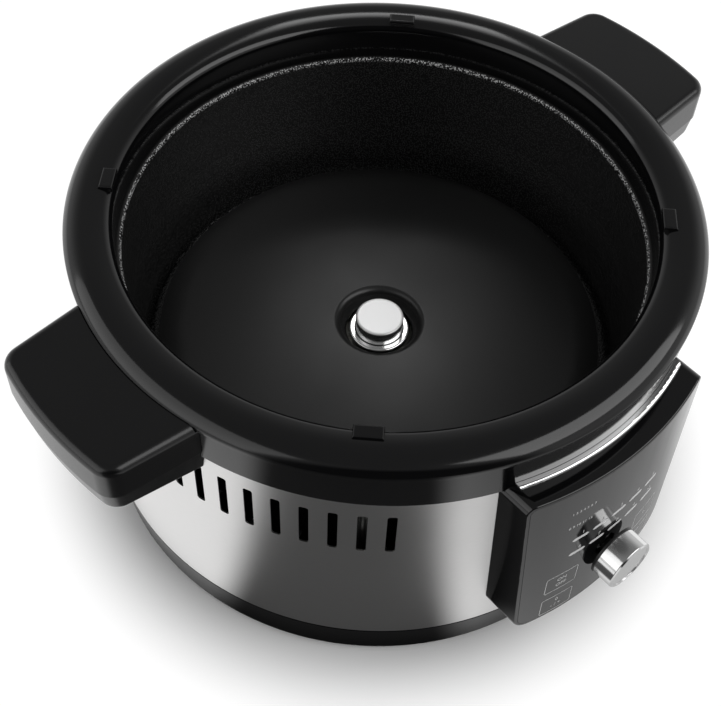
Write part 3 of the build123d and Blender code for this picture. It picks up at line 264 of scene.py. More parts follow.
def shader(name, colour, roughness, **constants):
    """New material, its tree and its shader, with the values that are the same all over."""
    material = bpy.data.materials.new(name)
    material.use_nodes = True
    tree = material.node_tree
    surface = tree.nodes["Principled BSDF"]
    surface.inputs["Base Color"].default_value = (*colour, 1)
    surface.inputs["Roughness"].default_value = roughness
    for key, value in constants.items():
        surface.inputs[key.replace("_", " ")].default_value = value
    return material, tree, surface


def ramp(tree, value, start, end, first, last, smooth=False):
    """Output that goes from one value to another while its input goes from start to end."""
    mapped = node(
        tree, "ShaderNodeMapRange", {0: value, 1: start, 2: end, 3: first, 4: last},
        interpolation_type="SMOOTHSTEP" if smooth else "LINEAR",
    )
    return mapped.outputs[0]


def spread(tree, value, middle, change):
    """Output that follows a noise value to both sides of a middle."""
    return ramp(tree, value, 0.25, 0.75, max(0.01, middle - change), middle + change)


def tint(tree, value, colour, change):
    """Colour that follows a 0 to 1 value from a little darker to a little lighter."""
    mixed = node(tree, "ShaderNodeMix", {0: value}, data_type="RGBA")
    mixed.inputs[6].default_value = (*[part * (1 - change) for part in colour], 1)
    mixed.inputs[7].default_value = (*[min(1, part * (1 + change)) for part in colour], 1)
    return mixed.outputs[2]


def relief(tree, surface, height, depth, strength=1.0):
    """Joins a height pattern to a shader as a relief of a stated depth in millimetres."""
    bump = node(
        tree, "ShaderNodeBump", {"Height": height, "Distance": depth * MM, "Strength": strength}
    )
    tree.links.new(bump.outputs[0], surface.inputs["Normal"])


def noise(tree, place, scale, detail):
    """Output of a noise pattern of so many cells to the metre."""
    made = node(tree, "ShaderNodeTexNoise", {"Vector": place, "Scale": scale, "Detail": detail})
    return made.outputs[0]


def moulded(
    name, colour, roughness, grain=0.5, depth=0.004, change=0.12, uneven=0.04, **constants
):
    """Moulded, cast or plated finish: a fine grain, and a tone and gloss that wander a little."""
    material, tree, surface = shader(name, colour, roughness, **constants)
    place = node(tree, "ShaderNodeTexCoord").outputs["Object"]
    wide = noise(tree, place, 14, 4)
    fine = noise(tree, place, 1 / (grain * MM), 2)
    tree.links.new(tint(tree, wide, colour, change), surface.inputs["Base Color"])
    tree.links.new(spread(tree, wide, roughness, uneven), surface.inputs["Roughness"])
    relief(tree, surface, fine, depth)
    return material


def brushed_round(name, colour, roughness, line=0.12, stretch=0.004, depth=0.003, **constants):
    """Brushed metal whose lines run round an upright body."""
    material, tree, surface = shader(name, colour, roughness, **constants)
    place = node(tree, "ShaderNodeTexCoord").outputs["Object"]
    parts = node(tree, "ShaderNodeSeparateXYZ", {0: place}).outputs
    angle = sum_of(tree, parts[1], parts[0], "ARCTAN2")
    stretched = sum_of(tree, angle, stretch, "MULTIPLY")
    lines = node(tree, "ShaderNodeCombineXYZ", {0: stretched, 2: parts[2]}).outputs[0]
    fine = noise(tree, lines, 1 / (line * MM), 3)
    wide = noise(tree, place, 9, 3)
    tree.links.new(tint(tree, fine, colour, 0.1), surface.inputs["Base Color"])
    tree.links.new(spread(tree, wide, roughness, 0.03), surface.inputs["Roughness"])
    relief(tree, surface, fine, depth)
    return material


def speckled_and_glint(name, colour, fleck_and_glint, roughness, lip_height, lip_radius, size=0.9):
    """Rough enamel: dark and pebbled, with sparse pale flecks all over; the flecks crowd on the
    round of the lip as a painted glint of light.
    """
    material, tree, surface = shader(name, colour, roughness)
    place = node(tree, "ShaderNodeTexCoord").outputs["Object"]
    along, across, rise = node(tree, "ShaderNodeSeparateXYZ", {0: place}).outputs
    level = node(tree, "ShaderNodeCombineXYZ", {0: along, 1: across}).outputs[0]
    away = node(tree, "ShaderNodeVectorMath", {0: level}, operation="LENGTH").outputs["Value"]
    edge = ramp(tree, away, (lip_radius + 0.5) * MM, (lip_radius + 1.3) * MM, 1.0, 0.0)
    cells = node(tree, "ShaderNodeTexVoronoi", {"Vector": place, "Scale": 1 / (size * MM)})
    dots = ramp(tree, cells.outputs["Distance"], 0.3, 0.5, 1.0, 0.0)
    # Painted highlight: on the round of the lip the flecks crowd together, standing in for light
    # glinting off the pebbled enamel.
    lip = ramp(tree, rise, (lip_height - 2.9) * MM, (lip_height - 1.7) * MM, 0.03, 1.0)
    share = sum_of(tree, dots, sum_of(tree, lip, edge, "MULTIPLY"), "MULTIPLY")
    mixed = node(tree, "ShaderNodeMix", {0: share}, data_type="RGBA")
    mixed.inputs[6].default_value = (*colour, 1)
    mixed.inputs[7].default_value = (*fleck_and_glint, 1)
    tree.links.new(mixed.outputs[2], surface.inputs["Base Color"])
    pebbles = noise(tree, place, 1 / (1.6 * size * MM), 2)
    relief(tree, surface, pebbles, 0.3, edge)
    return material


# Geometry trees

def open_tree(name, **kinds):
    """New geometry tree with named inputs, and the outputs of its input node."""
    tree = bpy.data.node_groups.new(name, "GeometryNodeTree")
    tree.interface.new_socket("Geometry", in_out="OUTPUT", socket_type="NodeSocketGeometry")
    for label, kind in {"Geometry": "Geometry", **kinds}.items():
        tree.interface.new_socket(label, in_out="INPUT", socket_type="NodeSocket" + kind)
    return tree, node(tree, "NodeGroupInput").outputs


def close_tree(tree, geometry, material):
    """Makes instances real, joins their seams and sets the material at a tree's end."""
    real = node(tree, "GeometryNodeRealizeInstances", {0: geometry}).outputs[0]
    joined = node(tree, "GeometryNodeMergeByDistance", {"Geometry": real, "Distance": 2e-6})
    painted = node(
        tree, "GeometryNodeSetMaterial", {"Geometry": joined.outputs[0], "Material": material}
    )
    node(tree, "NodeGroupOutput", {0: painted.outputs[0]})


def grown(name, base, tree, helpers=(), **values):
    """Plain object that a geometry tree makes of a base object, which is then removed."""
    modifier = base.modifiers.new(tree.name, "NODES")
    modifier.node_group = tree
    for item in tree.interface.items_tree:
        label = item.name.replace(" ", "_").lower()
        if item.in_out == "INPUT" and label in values:
            modifier[item.identifier] = values[label]
    graph = bpy.context.evaluated_depsgraph_get()
    mesh = bpy.data.meshes.new_from_object(base.evaluated_get(graph))
    mesh.name = name
    for spare in (base, *helpers):
        bpy.data.objects.remove(spare)
    return new_object(name, mesh)


# Values that a user would change

class CookerColours(bpy.types.PropertyGroup):
    """Finishes of the cooker."""

    collar: bpy.props.FloatVectorProperty(
        name="Collar", description="Glossy plastic of the collar and the panel's frame",
        subtype="COLOR", default=(0.003, 0.003, 0.0033), min=0, max=1,
    )
    handle: bpy.props.FloatVectorProperty(
        name="Handles", description="Moulded plastic of the handles and the base",
        subtype="COLOR", default=(0.0035, 0.0035, 0.0038), min=0, max=1,
    )
    steel: bpy.props.FloatVectorProperty(
        name="Steel", description="Brushed steel round the body",
        subtype="COLOR", default=(0.72, 0.715, 0.71), min=0, max=1,
    )
    enamel: bpy.props.FloatVectorProperty(
        name="Enamel", description="Dark enamel inside the well",
        subtype="COLOR", default=(0.007, 0.007, 0.007), min=0, max=1,
    )
    plate: bpy.props.FloatVectorProperty(
        name="Plate", description="Coated casting of the heating plate",
        subtype="COLOR", default=(0.012, 0.012, 0.012), min=0, max=1,
    )
    graphics: bpy.props.FloatVectorProperty(
        name="Graphics", description="Print and lights on the control panel",
        subtype="COLOR", default=(0.75, 0.75, 0.75), min=0, max=1,
    )


class CookerSizes(bpy.types.PropertyGroup):
    """Sizes that finish the shapes."""

    rim_segments: bpy.props.IntProperty(
        name="Rim segments", description="Flat sides that make up the round of the collar",
        default=320, min=48, max=720,
    )
    print_proud: bpy.props.FloatProperty(
        name="Print thickness", description="Thickness of the print on the panel, in millimetres",
        default=0.06, min=0.01, max=0.5,
    )


def sizes():
    """Sizes set in the scene."""
    return bpy.context.scene.cooker_sizes


def colours():
    """Colours set in the scene."""
    return bpy.context.scene.cooker_colours


# Pieces

class COOKER_OT_collar(bpy.types.Operator):
    """Adds the glossy collar and the four stop blocks on it"""

    bl_idname = "cooker.collar"
    bl_label = "Collar"

    def execute(self, context):
        crease = crest_height - 6.2
        inner = rim_radius - COLLAR_WIDTH
        crest_low = crest_height - 1.2
        crest_start, crest_end = inner + 4.2, rim_radius - 10
        skirt, skirt_inner = rim_radius - 1.8, rim_radius - 4.8
        seat = band_radius + 0.15
        step, foot, wall = crease - 2.7, crease - 17, 3
        foot_reach = inner + 7.5
        roll, way = arc((inner, crest_low - 5.4), (crest_start, crest_low), (0, 1), 14)
        crest, way = arc(roll[-1], (crest_end, crest_height), way, 8)
        edge, way = arc(crest[-1], (rim_radius, crease), way, 26)
        outline = [Vector((inner, foot))] + roll + crest[1:] + edge[1:]
        outline += rounded([
            (rim_radius, crease - 0.5, 0),
            (rim_radius, crease - 1.8, 0.4),
            (skirt, step, 0.4),
            (skirt, skirt_bottom, 0.5),
            (seat, skirt_bottom, 0.2),
            (seat, band_top, 0),
            (skirt_inner, band_top, 0),
            (skirt_inner, step, 1),
            (crest_end, crest_height - wall, 2),
            (crest_start, crest_low - wall, 2),
            (inner + wall, crest_low - 2 * wall, 1),
            (inner + wall, foot + wall, 1),
            (foot_reach, foot + wall, 0.3),
            (foot_reach, foot, 0),
        ], steps=5)
        black = moulded(
            "collar_gloss", colours().collar, 0.12, grain=3, depth=0.002, uneven=0.02, IOR=1.5
        )
        piece = lathe("collar_gloss_shell", outline, sizes().rim_segments)
        fit(piece, black, ["top_collar"])
        stops = clean_copy("pot_stop_blocks", "stop_blocks", edge=1.1, steps=4)
        satin = moulded("stop_block_black", colours().collar, 0.16, depth=0.004)
        fit(stops, satin, ["pot_stop_blocks"])
        return {"FINISHED"}


def sheet_piece(name, columns, rows, is_open, corner_of):
    """Part of the band's thin wall over a grid of angles and heights, with its openings.

    A cell at an opening's corner keeps one corner of its own and ends in an arc.
    """
    faces = []
    for column in range(len(columns) - 1):
        for row in range(len(rows) - 1):
            if is_open(column, row):
                continue
            cell = [
                (columns[column], rows[row]), (columns[column + 1], rows[row]),
                (columns[column + 1], rows[row + 1]), (columns[column], rows[row + 1]),
            ]
            kept = corner_of(column, row)
            if kept is not None:
                before, after = cell[kept - 1], cell[(kept + 1) % 4]
                centre = cell[(kept + 2) % 4]
                bow = []
                for step in range(1, 6):
                    turn = step * pi / 12
                    bow.append(tuple(
                        centre[axis] + (after[axis] - centre[axis]) * cos(turn)
                        + (before[axis] - centre[axis]) * sin(turn) for axis in (0, 1)
                    ))
                cell = [cell[kept], after, *bow, before]
            faces.append([(round(angle, 7), round(height, 5)) for angle, height in cell])
    sides = {}
    for face in faces:
        for index, point in enumerate(face):
            sides[(face[index - 1], point)] = True
    form = bmesh.new()
    walls = {}
    for radius in (band_radius, band_radius - BAND_WALL):
        for face in faces:
            for angle, height in face:
                if (radius, angle, height) not in walls:
                    place = Vector((radius * cos(angle), radius * sin(angle), height)) * MM
                    walls[radius, angle, height] = form.verts.new(place)
    outer, inner = band_radius, band_radius - BAND_WALL
    for face in faces:
        form.faces.new([walls[outer, angle, height] for angle, height in face])
        form.faces.new([walls[inner, angle, height] for angle, height in reversed(face)])
    ends = (round(columns[0], 7), round(columns[-1], 7))
    for first, second in sides:
        if (second, first) in sides or (first[0] == second[0] and first[0] in ends):
            continue
        form.faces.new([
            walls[radius, *point]
            for radius, point in (
                (outer, second), (outer, first), (inner, first), (inner, second)
            )
        ])
    mesh = bpy.data.meshes.new(name)
    form.to_mesh(mesh)
    form.free()
    return new_object(name, mesh)


def round_shading(piece):
    """Shades the upright round walls of a piece as true cylinders, and the rest flat."""
    mesh = piece.data
    normals = []
    for face in mesh.polygons:
        face.use_smooth = True
        middle = Vector((face.center.x, face.center.y, 0)).normalized()
        share = face.normal.dot(middle)
        for index in face.vertices:
            place = mesh.vertices[index].co
            around = Vector((place.x, place.y, 0)).normalized()
            is_round = abs(share) > 0.99
            normals.append(around * (1 if share > 0 else -1) if is_round else face.normal)
    mesh.normals_split_custom_set([tuple(normal) for normal in normals])


def slotted_band(steel):
    """Steel band: a plain wall front and rear, and slotted cells repeated at both sides."""
    slot_half, corner, pitch, count = 2.35, 1.3, radians(5), 21
    slot_bottom, slot_top = 113.0, 144.2
    cable_bottom, cable_top, cable_reach = 86.7, 116.7, 18
    inlet_low, inlet_high = low("inlet_socket"), high("inlet_socket")
    rows = sorted({
        band_bottom, band_top, slot_bottom, slot_bottom + corner, slot_top - corner, slot_top,
        inlet_low.z, inlet_high.z, cable_bottom, cable_top,
    })
    places = (-slot_half, corner - slot_half, slot_half - corner, slot_half)
    across = [-pitch / 2, *(place / band_radius for place in places), pitch / 2]

    def in_slot(column, row):
        return 0 < column < 4 and slot_bottom <= rows[row] < slot_top

    def is_open(column, row):
        return in_slot(column, row) and corner_of(column, row) is None

    def corner_of(column, row):
        if not in_slot(column, row) or column == 2:
            return None
        if rows[row + 1] <= slot_bottom + corner:
            return 0 if column == 1 else 1
        if rows[row] >= slot_top - corner:
            return 3 if column == 1 else 2
        return None

    cell = sheet_piece("band_cell", across, rows, is_open, corner_of)

    inlet_reach = (inlet_high.x - inlet_low.x) / 2 + 0.15
    first = pitch * count / 2

    def plain(name, middle, reach, bottom, top):
        opening = atan2(reach, band_radius)
        edges = [
            middle - pi / 2 + first, middle - opening, middle + opening, middle + pi / 2 - first
        ]
        columns = []
        for start, end in zip(edges, edges[1:]):
            steps = max(1, round((end - start) / radians(2)))
            columns += [start + (end - start) * step / steps for step in range(steps)]
        columns.append(edges[-1])
        return sheet_piece(
            name, columns, rows,
            lambda column, row: (
                abs((columns[column] + columns[column + 1]) / 2 - middle) < opening
                and bottom <= rows[row] < top
            ),
            lambda column, row: None,
        )

    rear = plain("band_rear", pi / 2, inlet_reach, inlet_low.z, inlet_high.z)
    front = plain("band_front", 3 * pi / 2, cable_reach, cable_bottom, cable_top)

    tree, entry = open_tree(
        "slotted_band", Cell="Object", Front="Object", Count="Int", Pitch="Float", First="Float",
        Material="Material",
    )
    opposite, source = (
        node(tree, "GeometryNodeObjectInfo", {0: entry[name]}).outputs["Geometry"]
        for name in ("Front", "Cell")
    )
    pieces = [entry["Geometry"], opposite]
    line = node(tree, "GeometryNodeMeshLine", {"Count": entry["Count"], "Offset": (0, 0, 0)})
    index = node(tree, "GeometryNodeInputIndex").outputs[0]
    turned = sum_of(tree, sum_of(tree, index, entry["Pitch"], "MULTIPLY"), entry["First"])
    for side in (0, pi):
        turn = node(tree, "ShaderNodeCombineXYZ", {2: sum_of(tree, turned, side)}).outputs[0]
        placed = node(tree, "GeometryNodeInstanceOnPoints", {
            "Points": line.outputs[0], "Instance": source, "Rotation": turn,
        })
        pieces.append(placed.outputs[0])
    joined = node(tree, "GeometryNodeJoinGeometry")
    for piece in pieces:
        tree.links.new(piece, joined.inputs[0])
    close_tree(tree, joined.outputs[0], entry["Material"])
    band = grown(
        "steel_band", rear, tree, (cell, front), cell=cell, front=front, count=count,
        pitch=pitch, first=-pitch * (count - 1) / 2, material=steel,
    )
    round_shading(band)
    return band


class COOKER_OT_shell(bpy.types.Operator):
    """Adds the brushed steel band, the base tray, its feet and its screws"""

    bl_idname = "cooker.shell"
    bl_label = "Steel shell and base"

    def execute(self, context):
        steel = brushed_round(
            "brushed_steel", colours().steel, 0.3, Metallic=1, Anisotropic=0.55
        )
        fit(slotted_band(steel), steel, ["steel_housing"])
        black = moulded("base_black", colours().handle, 0.32, depth=0.004)
        tray = clean_copy("base_tray", "base_shell", edge=0.3)
        fit(tray, black, ["base_tray"])
        rubber = moulded("foot_rubber", (0.018, 0.018, 0.018), 0.75, grain=0.3, depth=0.01)
        dress(rubber, "rubber_feet")
        zinc = moulded("zinc_plated", (0.5, 0.5, 0.48), 0.32, grain=0.4, depth=0.002, Metallic=1)
        dress(
            zinc, "base_screws", "tie_rods", "plate_legs", "plate_screws", "sensor_bracket",
            "bracket_rivets", "cutout_screws", "bezel_screws", "control_board_screws",
            "board_screws", "handle_screws",
        )
        return {"FINISHED"}


class COOKER_OT_handles(bpy.types.Operator):
    """Adds the two side handles, each an upper shell and an underside"""

    bl_idname = "cooker.handles"
    bl_label = "Handles"

    def execute(self, context):
        black = moulded(
            "handle_black", colours().handle, 0.24, grain=0.45, depth=0.005, uneven=0.03
        )
        for side in ("left", "right"):
            for part in ("shell", "underside"):
                source = f"{side}_handle_{part}"
                piece = clean_copy(source, f"{side}_grip_{part}", edge=0.4)
                fit(piece, black, [source])
        return {"FINISHED"}


class COOKER_OT_well(bpy.types.Operator):
    """Adds the well in flecked enamel with a painted glint on its lip, the heating plate and what
    is under it
    """

    bl_idname = "cooker.well"
    bl_label = "Well and plate"

    def execute(self, context):
        lip = high("inner_well").z
        under = low("inner_well").z
        seat = rim_radius - COLLAR_WIDTH
        reveal = seat - LIP_REVEAL
        flange = seat + 6.5
        hole, sheet, bend, taper = 24, 0.9, lip - 45, 2.6
        # Pale colour of the enamel's own flecks and of the painted glint on the lip.
        enamel = speckled_and_glint(
            "speckled_enamel", colours().enamel, (0.62, 0.62, 0.62), 0.26, lip, reveal
        )
        outline = rounded([
            (hole, under, 0),
            (reveal + sheet - taper, under, 8),
            (reveal + sheet, bend, 6),
            (reveal + sheet, lip - sheet, 0.6),
            (flange, lip - sheet, 0),
            (flange, lip, 0),
            (reveal, lip, LIP_REVEAL),
            (reveal, bend, 6),
            (reveal - taper, under + sheet, 9),
            (hole, under + sheet, 0),
        ], steps=8)
        well = lathe("well_cup", outline, 2 * sizes().rim_segments)
        fit(well, enamel, ["inner_well"])
        coating = moulded(
            "plate_coating", colours().plate, 0.34, grain=0.35, depth=0.012, uneven=0.05
        )
        plate = clean_copy("heating_plate", "plate_disc")
        fit(plate, coating, ["heating_plate"])
        sheath = moulded("element_sheath", (0.2, 0.19, 0.18), 0.45, depth=0.006, Metallic=1)
        dress(sheath, "heating_element")
        ceramic = moulded("terminal_ceramic", (0.74, 0.72, 0.66), 0.7, depth=0.02)
        dress(ceramic, "element_terminals")
        return {"FINISHED"}


class COOKER_OT_sensor(bpy.types.Operator):
    """Adds the sensor in the middle of the plate, its sleeve, stem and spring"""

    bl_idname = "cooker.sensor"
    bl_label = "Sensor"

    def execute(self, context):
        pale = moulded("cap_metal", (0.88, 0.88, 0.88), 0.2, grain=0.3, depth=0.001, Metallic=1)
        tree = pale.node_tree
        place = node(tree, "ShaderNodeTexCoord").outputs["Object"]
        rise = node(tree, "ShaderNodeSeparateXYZ", {0: place}).outputs[2]
        crown = high("sensor_cap").z
        satin = ramp(tree, rise, (crown - 0.9) * MM, (crown - 0.1) * MM, 1.0, 0.12)
        tree.links.new(satin, tree.nodes["Principled BSDF"].inputs["Metallic"])
        cap = clean_copy("sensor_cap", "sensor_cap_cup")
        fit(cap, pale, ["sensor_cap"], body="sensor_plunger")
        bright = moulded("bright_plating", (0.8, 0.8, 0.8), 0.1, depth=0.001, Metallic=1)
        sleeve = clean_copy("sensor_sleeve", "sensor_sleeve_tube")
        fit(sleeve, bright, ["sensor_sleeve"])
        natural = moulded("stem_plastic", (0.62, 0.61, 0.58), 0.5)
        dress(natural, "sensor_stem", "encoder_plunger")
        wire = moulded("spring_wire", (0.45, 0.45, 0.44), 0.25, Metallic=1)
        coil = clean_copy("sensor_spring", "spring_coil")
        fit(coil, wire, ["sensor_spring"])
        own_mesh(coil)
        dress(wire, "fuse_clip")
        return {"FINISHED"}


def on_front(x, z, proud=0.0):
    """Place on the panel's curved front, from millimetres across and up."""
    radius = front_top + (panel_top - z) * front_slope + proud
    return Vector((x, -sqrt(radius * radius - x * x), z)) * MM


def figures(form, text, x, z, height):
    """Adds figures of a stated height to the print, centred on one place."""
    data = bpy.data.curves.new("figures", "FONT")
    data.body = text
    data.size = height / CAPITAL_SHARE
    data.align_x, data.align_y = "CENTER", "CENTER"
    data.resolution_u = 4
    holder = new_object("figures", data)
    graph = bpy.context.evaluated_depsgraph_get()
    mesh = bpy.data.meshes.new_from_object(holder.evaluated_get(graph))
    mesh.transform(Matrix.Translation((x, z, 0)))
    form.from_mesh(mesh)
    bpy.data.objects.remove(holder)
    bpy.data.meshes.remove(mesh)


def frame_line(form, x, z, width, height, radius, line):
    """Adds the outline of a key to the print, cut short enough to follow the curve."""
    loops, turn_steps, cut = [], 4, 2
    for inset in (0, line):
        half_x, half_z = width / 2 - inset, height / 2 - inset
        corners = [(x + u * half_x, z + v * half_z, radius - inset)
                   for u, v in ((-1, -1), (1, -1), (1, 1), (-1, 1))]
        outline = rounded(corners, turn_steps)
        fine = []
        for index, point in enumerate(outline):
            last = outline[index - 1]
            is_side = index % (turn_steps + 1) == 0
            steps = max(1, round(width / cut)) if is_side else 1
            fine += [last.lerp(point, (step + 1) / steps) for step in range(steps)]
        loops.append([form.verts.new((point.x, point.y, 0)) for point in fine])
    outer, inner = loops
    for index in range(len(outer)):
        form.faces.new((outer[index - 1], outer[index], inner[index], inner[index - 1]))


def lit_bars(material):
    """Two rows of small bars for the settings, laid on the panel's curved front."""
    tree, entry = open_tree(
        "lit_bars", Columns="Int", Rows="Int", Across="Float", Down="Float", Middle="Float",
        Width="Float", Height="Float", Radius="Float", Slope="Float", Material="Material",
    )
    spans = [
        sum_of(tree, sum_of(tree, entry[count], 1, "SUBTRACT"), entry[pitch], "MULTIPLY")
        for count, pitch in (("Columns", "Across"), ("Rows", "Down"))
    ]
    grid = node(tree, "GeometryNodeMeshGrid", {
        "Size X": spans[0], "Size Y": spans[1],
        "Vertices X": entry["Columns"], "Vertices Y": entry["Rows"],
    })
    bar = node(tree, "GeometryNodeCurvePrimitiveQuadrilateral", {
        "Width": entry["Width"], "Height": entry["Height"],
    })
    half = sum_of(tree, entry["Height"], 0.49, "MULTIPLY")
    soft = node(tree, "GeometryNodeFilletCurve", {"Curve": bar.outputs[0], "Radius": half})
    for name in ("Count", "Limit Radius"):
        if name in soft.inputs:
            soft.inputs[name].default_value = 5 if name == "Count" else True
    flat = node(tree, "GeometryNodeFillCurve", {"Curve": soft.outputs[0]}).outputs[0]
    placed = node(
        tree, "GeometryNodeInstanceOnPoints", {"Points": grid.outputs[0], "Instance": flat}
    )
    real = node(tree, "GeometryNodeRealizeInstances", {0: placed.outputs[0]}).outputs[0]
    spot = node(tree, "GeometryNodeInputPosition").outputs[0]
    across, up, _ = node(tree, "ShaderNodeSeparateXYZ", {0: spot}).outputs
    rise = sum_of(tree, up, entry["Middle"])
    drawn_in = sum_of(tree, rise, entry["Slope"], "MULTIPLY")
    reach = sum_of(tree, entry["Radius"], drawn_in, "SUBTRACT")
    squares = [sum_of(tree, side, side, "MULTIPLY") for side in (reach, across)]
    square = sum_of(tree, *squares, "SUBTRACT")
    depth = sum_of(tree, sum_of(tree, square, 0.5, "POWER"), -1.0, "MULTIPLY")
    wrapped = node(tree, "ShaderNodeCombineXYZ", {0: across, 1: depth, 2: rise}).outputs[0]
    moved = node(tree, "GeometryNodeSetPosition", {"Geometry": real, "Position": wrapped})
    close_tree(tree, moved.outputs[0], entry["Material"])
    proud = sizes().print_proud
    base = new_object("bars_base", bpy.data.meshes.new("bars_base"))
    return grown(
        "lit_bars", base, tree, columns=BAR_COLUMNS, rows=BAR_ROWS, across=BAR_PITCH * MM,
        down=BAR_DROP * MM, middle=BAR_MIDDLE * MM, width=10.2 * MM, height=2.4 * MM,
        radius=(front_top + proud + panel_top * front_slope) * MM, slope=front_slope,
        material=material,
    )


def panel_print(material):
    """All that is printed on the fascia: bars, figures, signs and framed keys."""
    form = bmesh.new()
    for column in range(BAR_COLUMNS):
        for row in range(BAR_ROWS):
            number = str(1 + column + BAR_COLUMNS * row)
            figures(form, number, (column - 2) * BAR_PITCH + 1, 116.2 - BAR_DROP * row, 2.4)
    for row, text in enumerate(("1 2 3 4 5 6 7", "8 9 10 11 12")):
        figures(form, text, -27.5, 139 - 12.4 * row, 1.9)
    for side in (-1, 1):
        for z in (UPPER_KEY, LOWER_KEY):
            frame_line(form, side * KEY_REACH, z, 19, 15, 1.6, 0.35)
    for text, side, z, height in (
        ("ON", -1, UPPER_KEY + 2.4, 2.6), ("OFF", -1, UPPER_KEY - 2.6, 2.6),
        ("0", -1, LOWER_KEY + 2.6, 2.6), ("- / +", -1, LOWER_KEY - 2.4, 2.6),
        ("+", 1, UPPER_KEY, 4), ("-", 1, LOWER_KEY, 4),
    ):
        figures(form, text, side * KEY_REACH, z, height)
    proud = sizes().print_proud
    for point in form.verts:
        point.co = on_front(point.co.x, point.co.y, proud)
    bars = lit_bars(material)
    form.from_mesh(bars.data)
    bpy.data.objects.remove(bars)
    form.normal_update()
    for face in form.faces:
        face.material_index = 0
        if face.normal.y > 0:
            face.normal_flip()
    mesh = bpy.data.meshes.new("panel_print")
    form.to_mesh(mesh)
    form.free()
    piece = new_object("panel_print", mesh)
    thick = piece.modifiers.new("thickness", "SOLIDIFY")
    thick.thickness = proud * MM
    thick.offset = -1
    return piece


class COOKER_OT_panel(bpy.types.Operator):
    """Adds the control panel: its frame, glossy front and bright trim"""

    bl_idname = "cooker.panel"
    bl_label = "Control panel"

    def execute(self, context):
        black = moulded(
            "panel_gloss", colours().collar, 0.08, grain=3, depth=0.002, uneven=0.02, IOR=1.5
        )
        bezel = clean_copy("panel_bezel", "panel_frame", edge=0.3)
        fit(bezel, black, ["panel_bezel"])
        glass = moulded(
            "fascia_gloss", colours().collar, 0.06, grain=4, depth=0.001, uneven=0.01, IOR=1.6
        )
        front = clean_copy("panel_fascia", "panel_front")
        fit(front, glass, ["panel_fascia"])
        ink = moulded("panel_ink", colours().graphics, 0.5, grain=0.2, depth=0.001)
        fit(panel_print(ink), ink)
        bright = moulded(
            "trim_bright", (0.86, 0.86, 0.86), 0.12, grain=0.6, depth=0.001, Metallic=1
        )
        trim = clean_copy("panel_trim_strip", "bright_trim", edge=0.3)
        fit(trim, bright, ["panel_trim_strip"])
        return {"FINISHED"}


class COOKER_OT_knob(bpy.types.Operator):
    """Adds the turned metal knob and the dark ring behind it"""

    bl_idname = "cooker.knob"
    bl_label = "Knob"

    def execute(self, context):
        metal = moulded("knob_metal", (0.78, 0.78, 0.78), 0.14, depth=0.001, Metallic=1)
        knob = clean_copy("control_knob", "turned_knob", edge=0.15)
        fit(knob, metal, ["control_knob"], body="knob")
        dark = moulded("ring_black", (0.01, 0.01, 0.01), 0.3)
        ring = clean_copy("knob_base_ring", "knob_ring", edge=0.2)
        fit(ring, dark, ["knob_base_ring"], body="knob")
        steel = moulded("shaft_steel", (0.6, 0.6, 0.6), 0.25, Metallic=1)
        dress(steel, "encoder_shaft")
        return {"FINISHED"}


class COOKER_OT_inside(bpy.types.Operator):
    """Gives the boards, their parts and the inlet their finishes"""

    bl_idname = "cooker.inside"
    bl_label = "Inside and inlet"

    def execute(self, context):
        for name, colour, roughness, metallic, dressed in (
            ("solder_mask", (0.02, 0.14, 0.05), 0.3, 0, ("control_board", "power_board")),
            ("guide_white", (0.8, 0.8, 0.78), 0.5, 0, ("light_guide",)),
            ("contact_metal", (0.7, 0.58, 0.33), 0.3, 1, ("touch_pads",)),
            ("moulded_black", (0.02, 0.02, 0.02), 0.45, 0, ("encoder_body", "thermal_cutout")),
            ("fuse_tube", (0.66, 0.66, 0.64), 0.35, 1, ("thermal_fuse",)),
            ("relay_case", (0.02, 0.07, 0.28), 0.25, 0, ("board_relay",)),
            ("varnished_core", (0.09, 0.07, 0.05), 0.45, 0, ("board_transformer",)),
            ("capacitor_case", (0.6, 0.42, 0.04), 0.35, 0, ("board_capacitor",)),
        ):
            dress(moulded(name, colour, roughness, Metallic=metallic), *dressed)
        black = moulded("inlet_black", (0.014, 0.014, 0.014), 0.4)
        for source, name in (("inlet_surround", "inlet_frame"), ("inlet_socket", "inlet_cup")):
            fit(clean_copy(source, name, edge=0.3), black, [source])
        plated = moulded("pin_plating", (0.7, 0.68, 0.62), 0.25, Metallic=1)
        dress(plated, "inlet_pins")
        return {"FINISHED"}


# Stage: places in metres, and directions that point to the darker sides: the floor's painted dark
# reflections and the world's dark wall

CAMERA_PLACE = (-0.3192904, -0.3263903, 0.6574657)
CAMERA_RIGHT = (0.75530013, -0.65469543, 0.02992671)
CAMERA_UP = (0.50658249, 0.61217978, 0.60713268)
CAMERA_AHEAD = (0.41580752, 0.44340705, -0.79403671)
CAMERA_LENS = 65.42
# Directions of the floor's painted dark sectors, seen only in reflections
PAINTED_DARK_FLOOR = (-0.755, -0.656, 0.0)
PAINTED_DIM_FLOOR = (0.22, -0.975, 0.0)
DARK_WALL = (-0.595, -0.804, 0.0)


def toned_side(tree, direction, middle, start, end, least, smooth=True):
    """Output that falls from 1 to a least value as a direction nears the middle of a side."""
    facing = node(
        tree, "ShaderNodeVectorMath", {0: direction, 1: middle}, operation="DOT_PRODUCT"
    )
    return ramp(tree, facing.outputs["Value"], start, end, 1.0, least, smooth)


def softbox(name, place, target, size, power, spread_angle=pi):
    """Rectangular lamp at one place, facing another."""
    data = bpy.data.lights.new(name, "AREA")
    data.shape = "RECTANGLE"
    data.size, data.size_y = size
    data.energy = power
    data.spread = spread_angle
    lamp = bpy.data.objects.new(name, data)
    bpy.context.scene.collection.objects.link(lamp)
    lamp.location = place
    lamp.rotation_mode = "QUATERNION"
    lamp.rotation_quaternion = (Vector(target) - Vector(place)).to_track_quat("-Z", "Y")
    return lamp


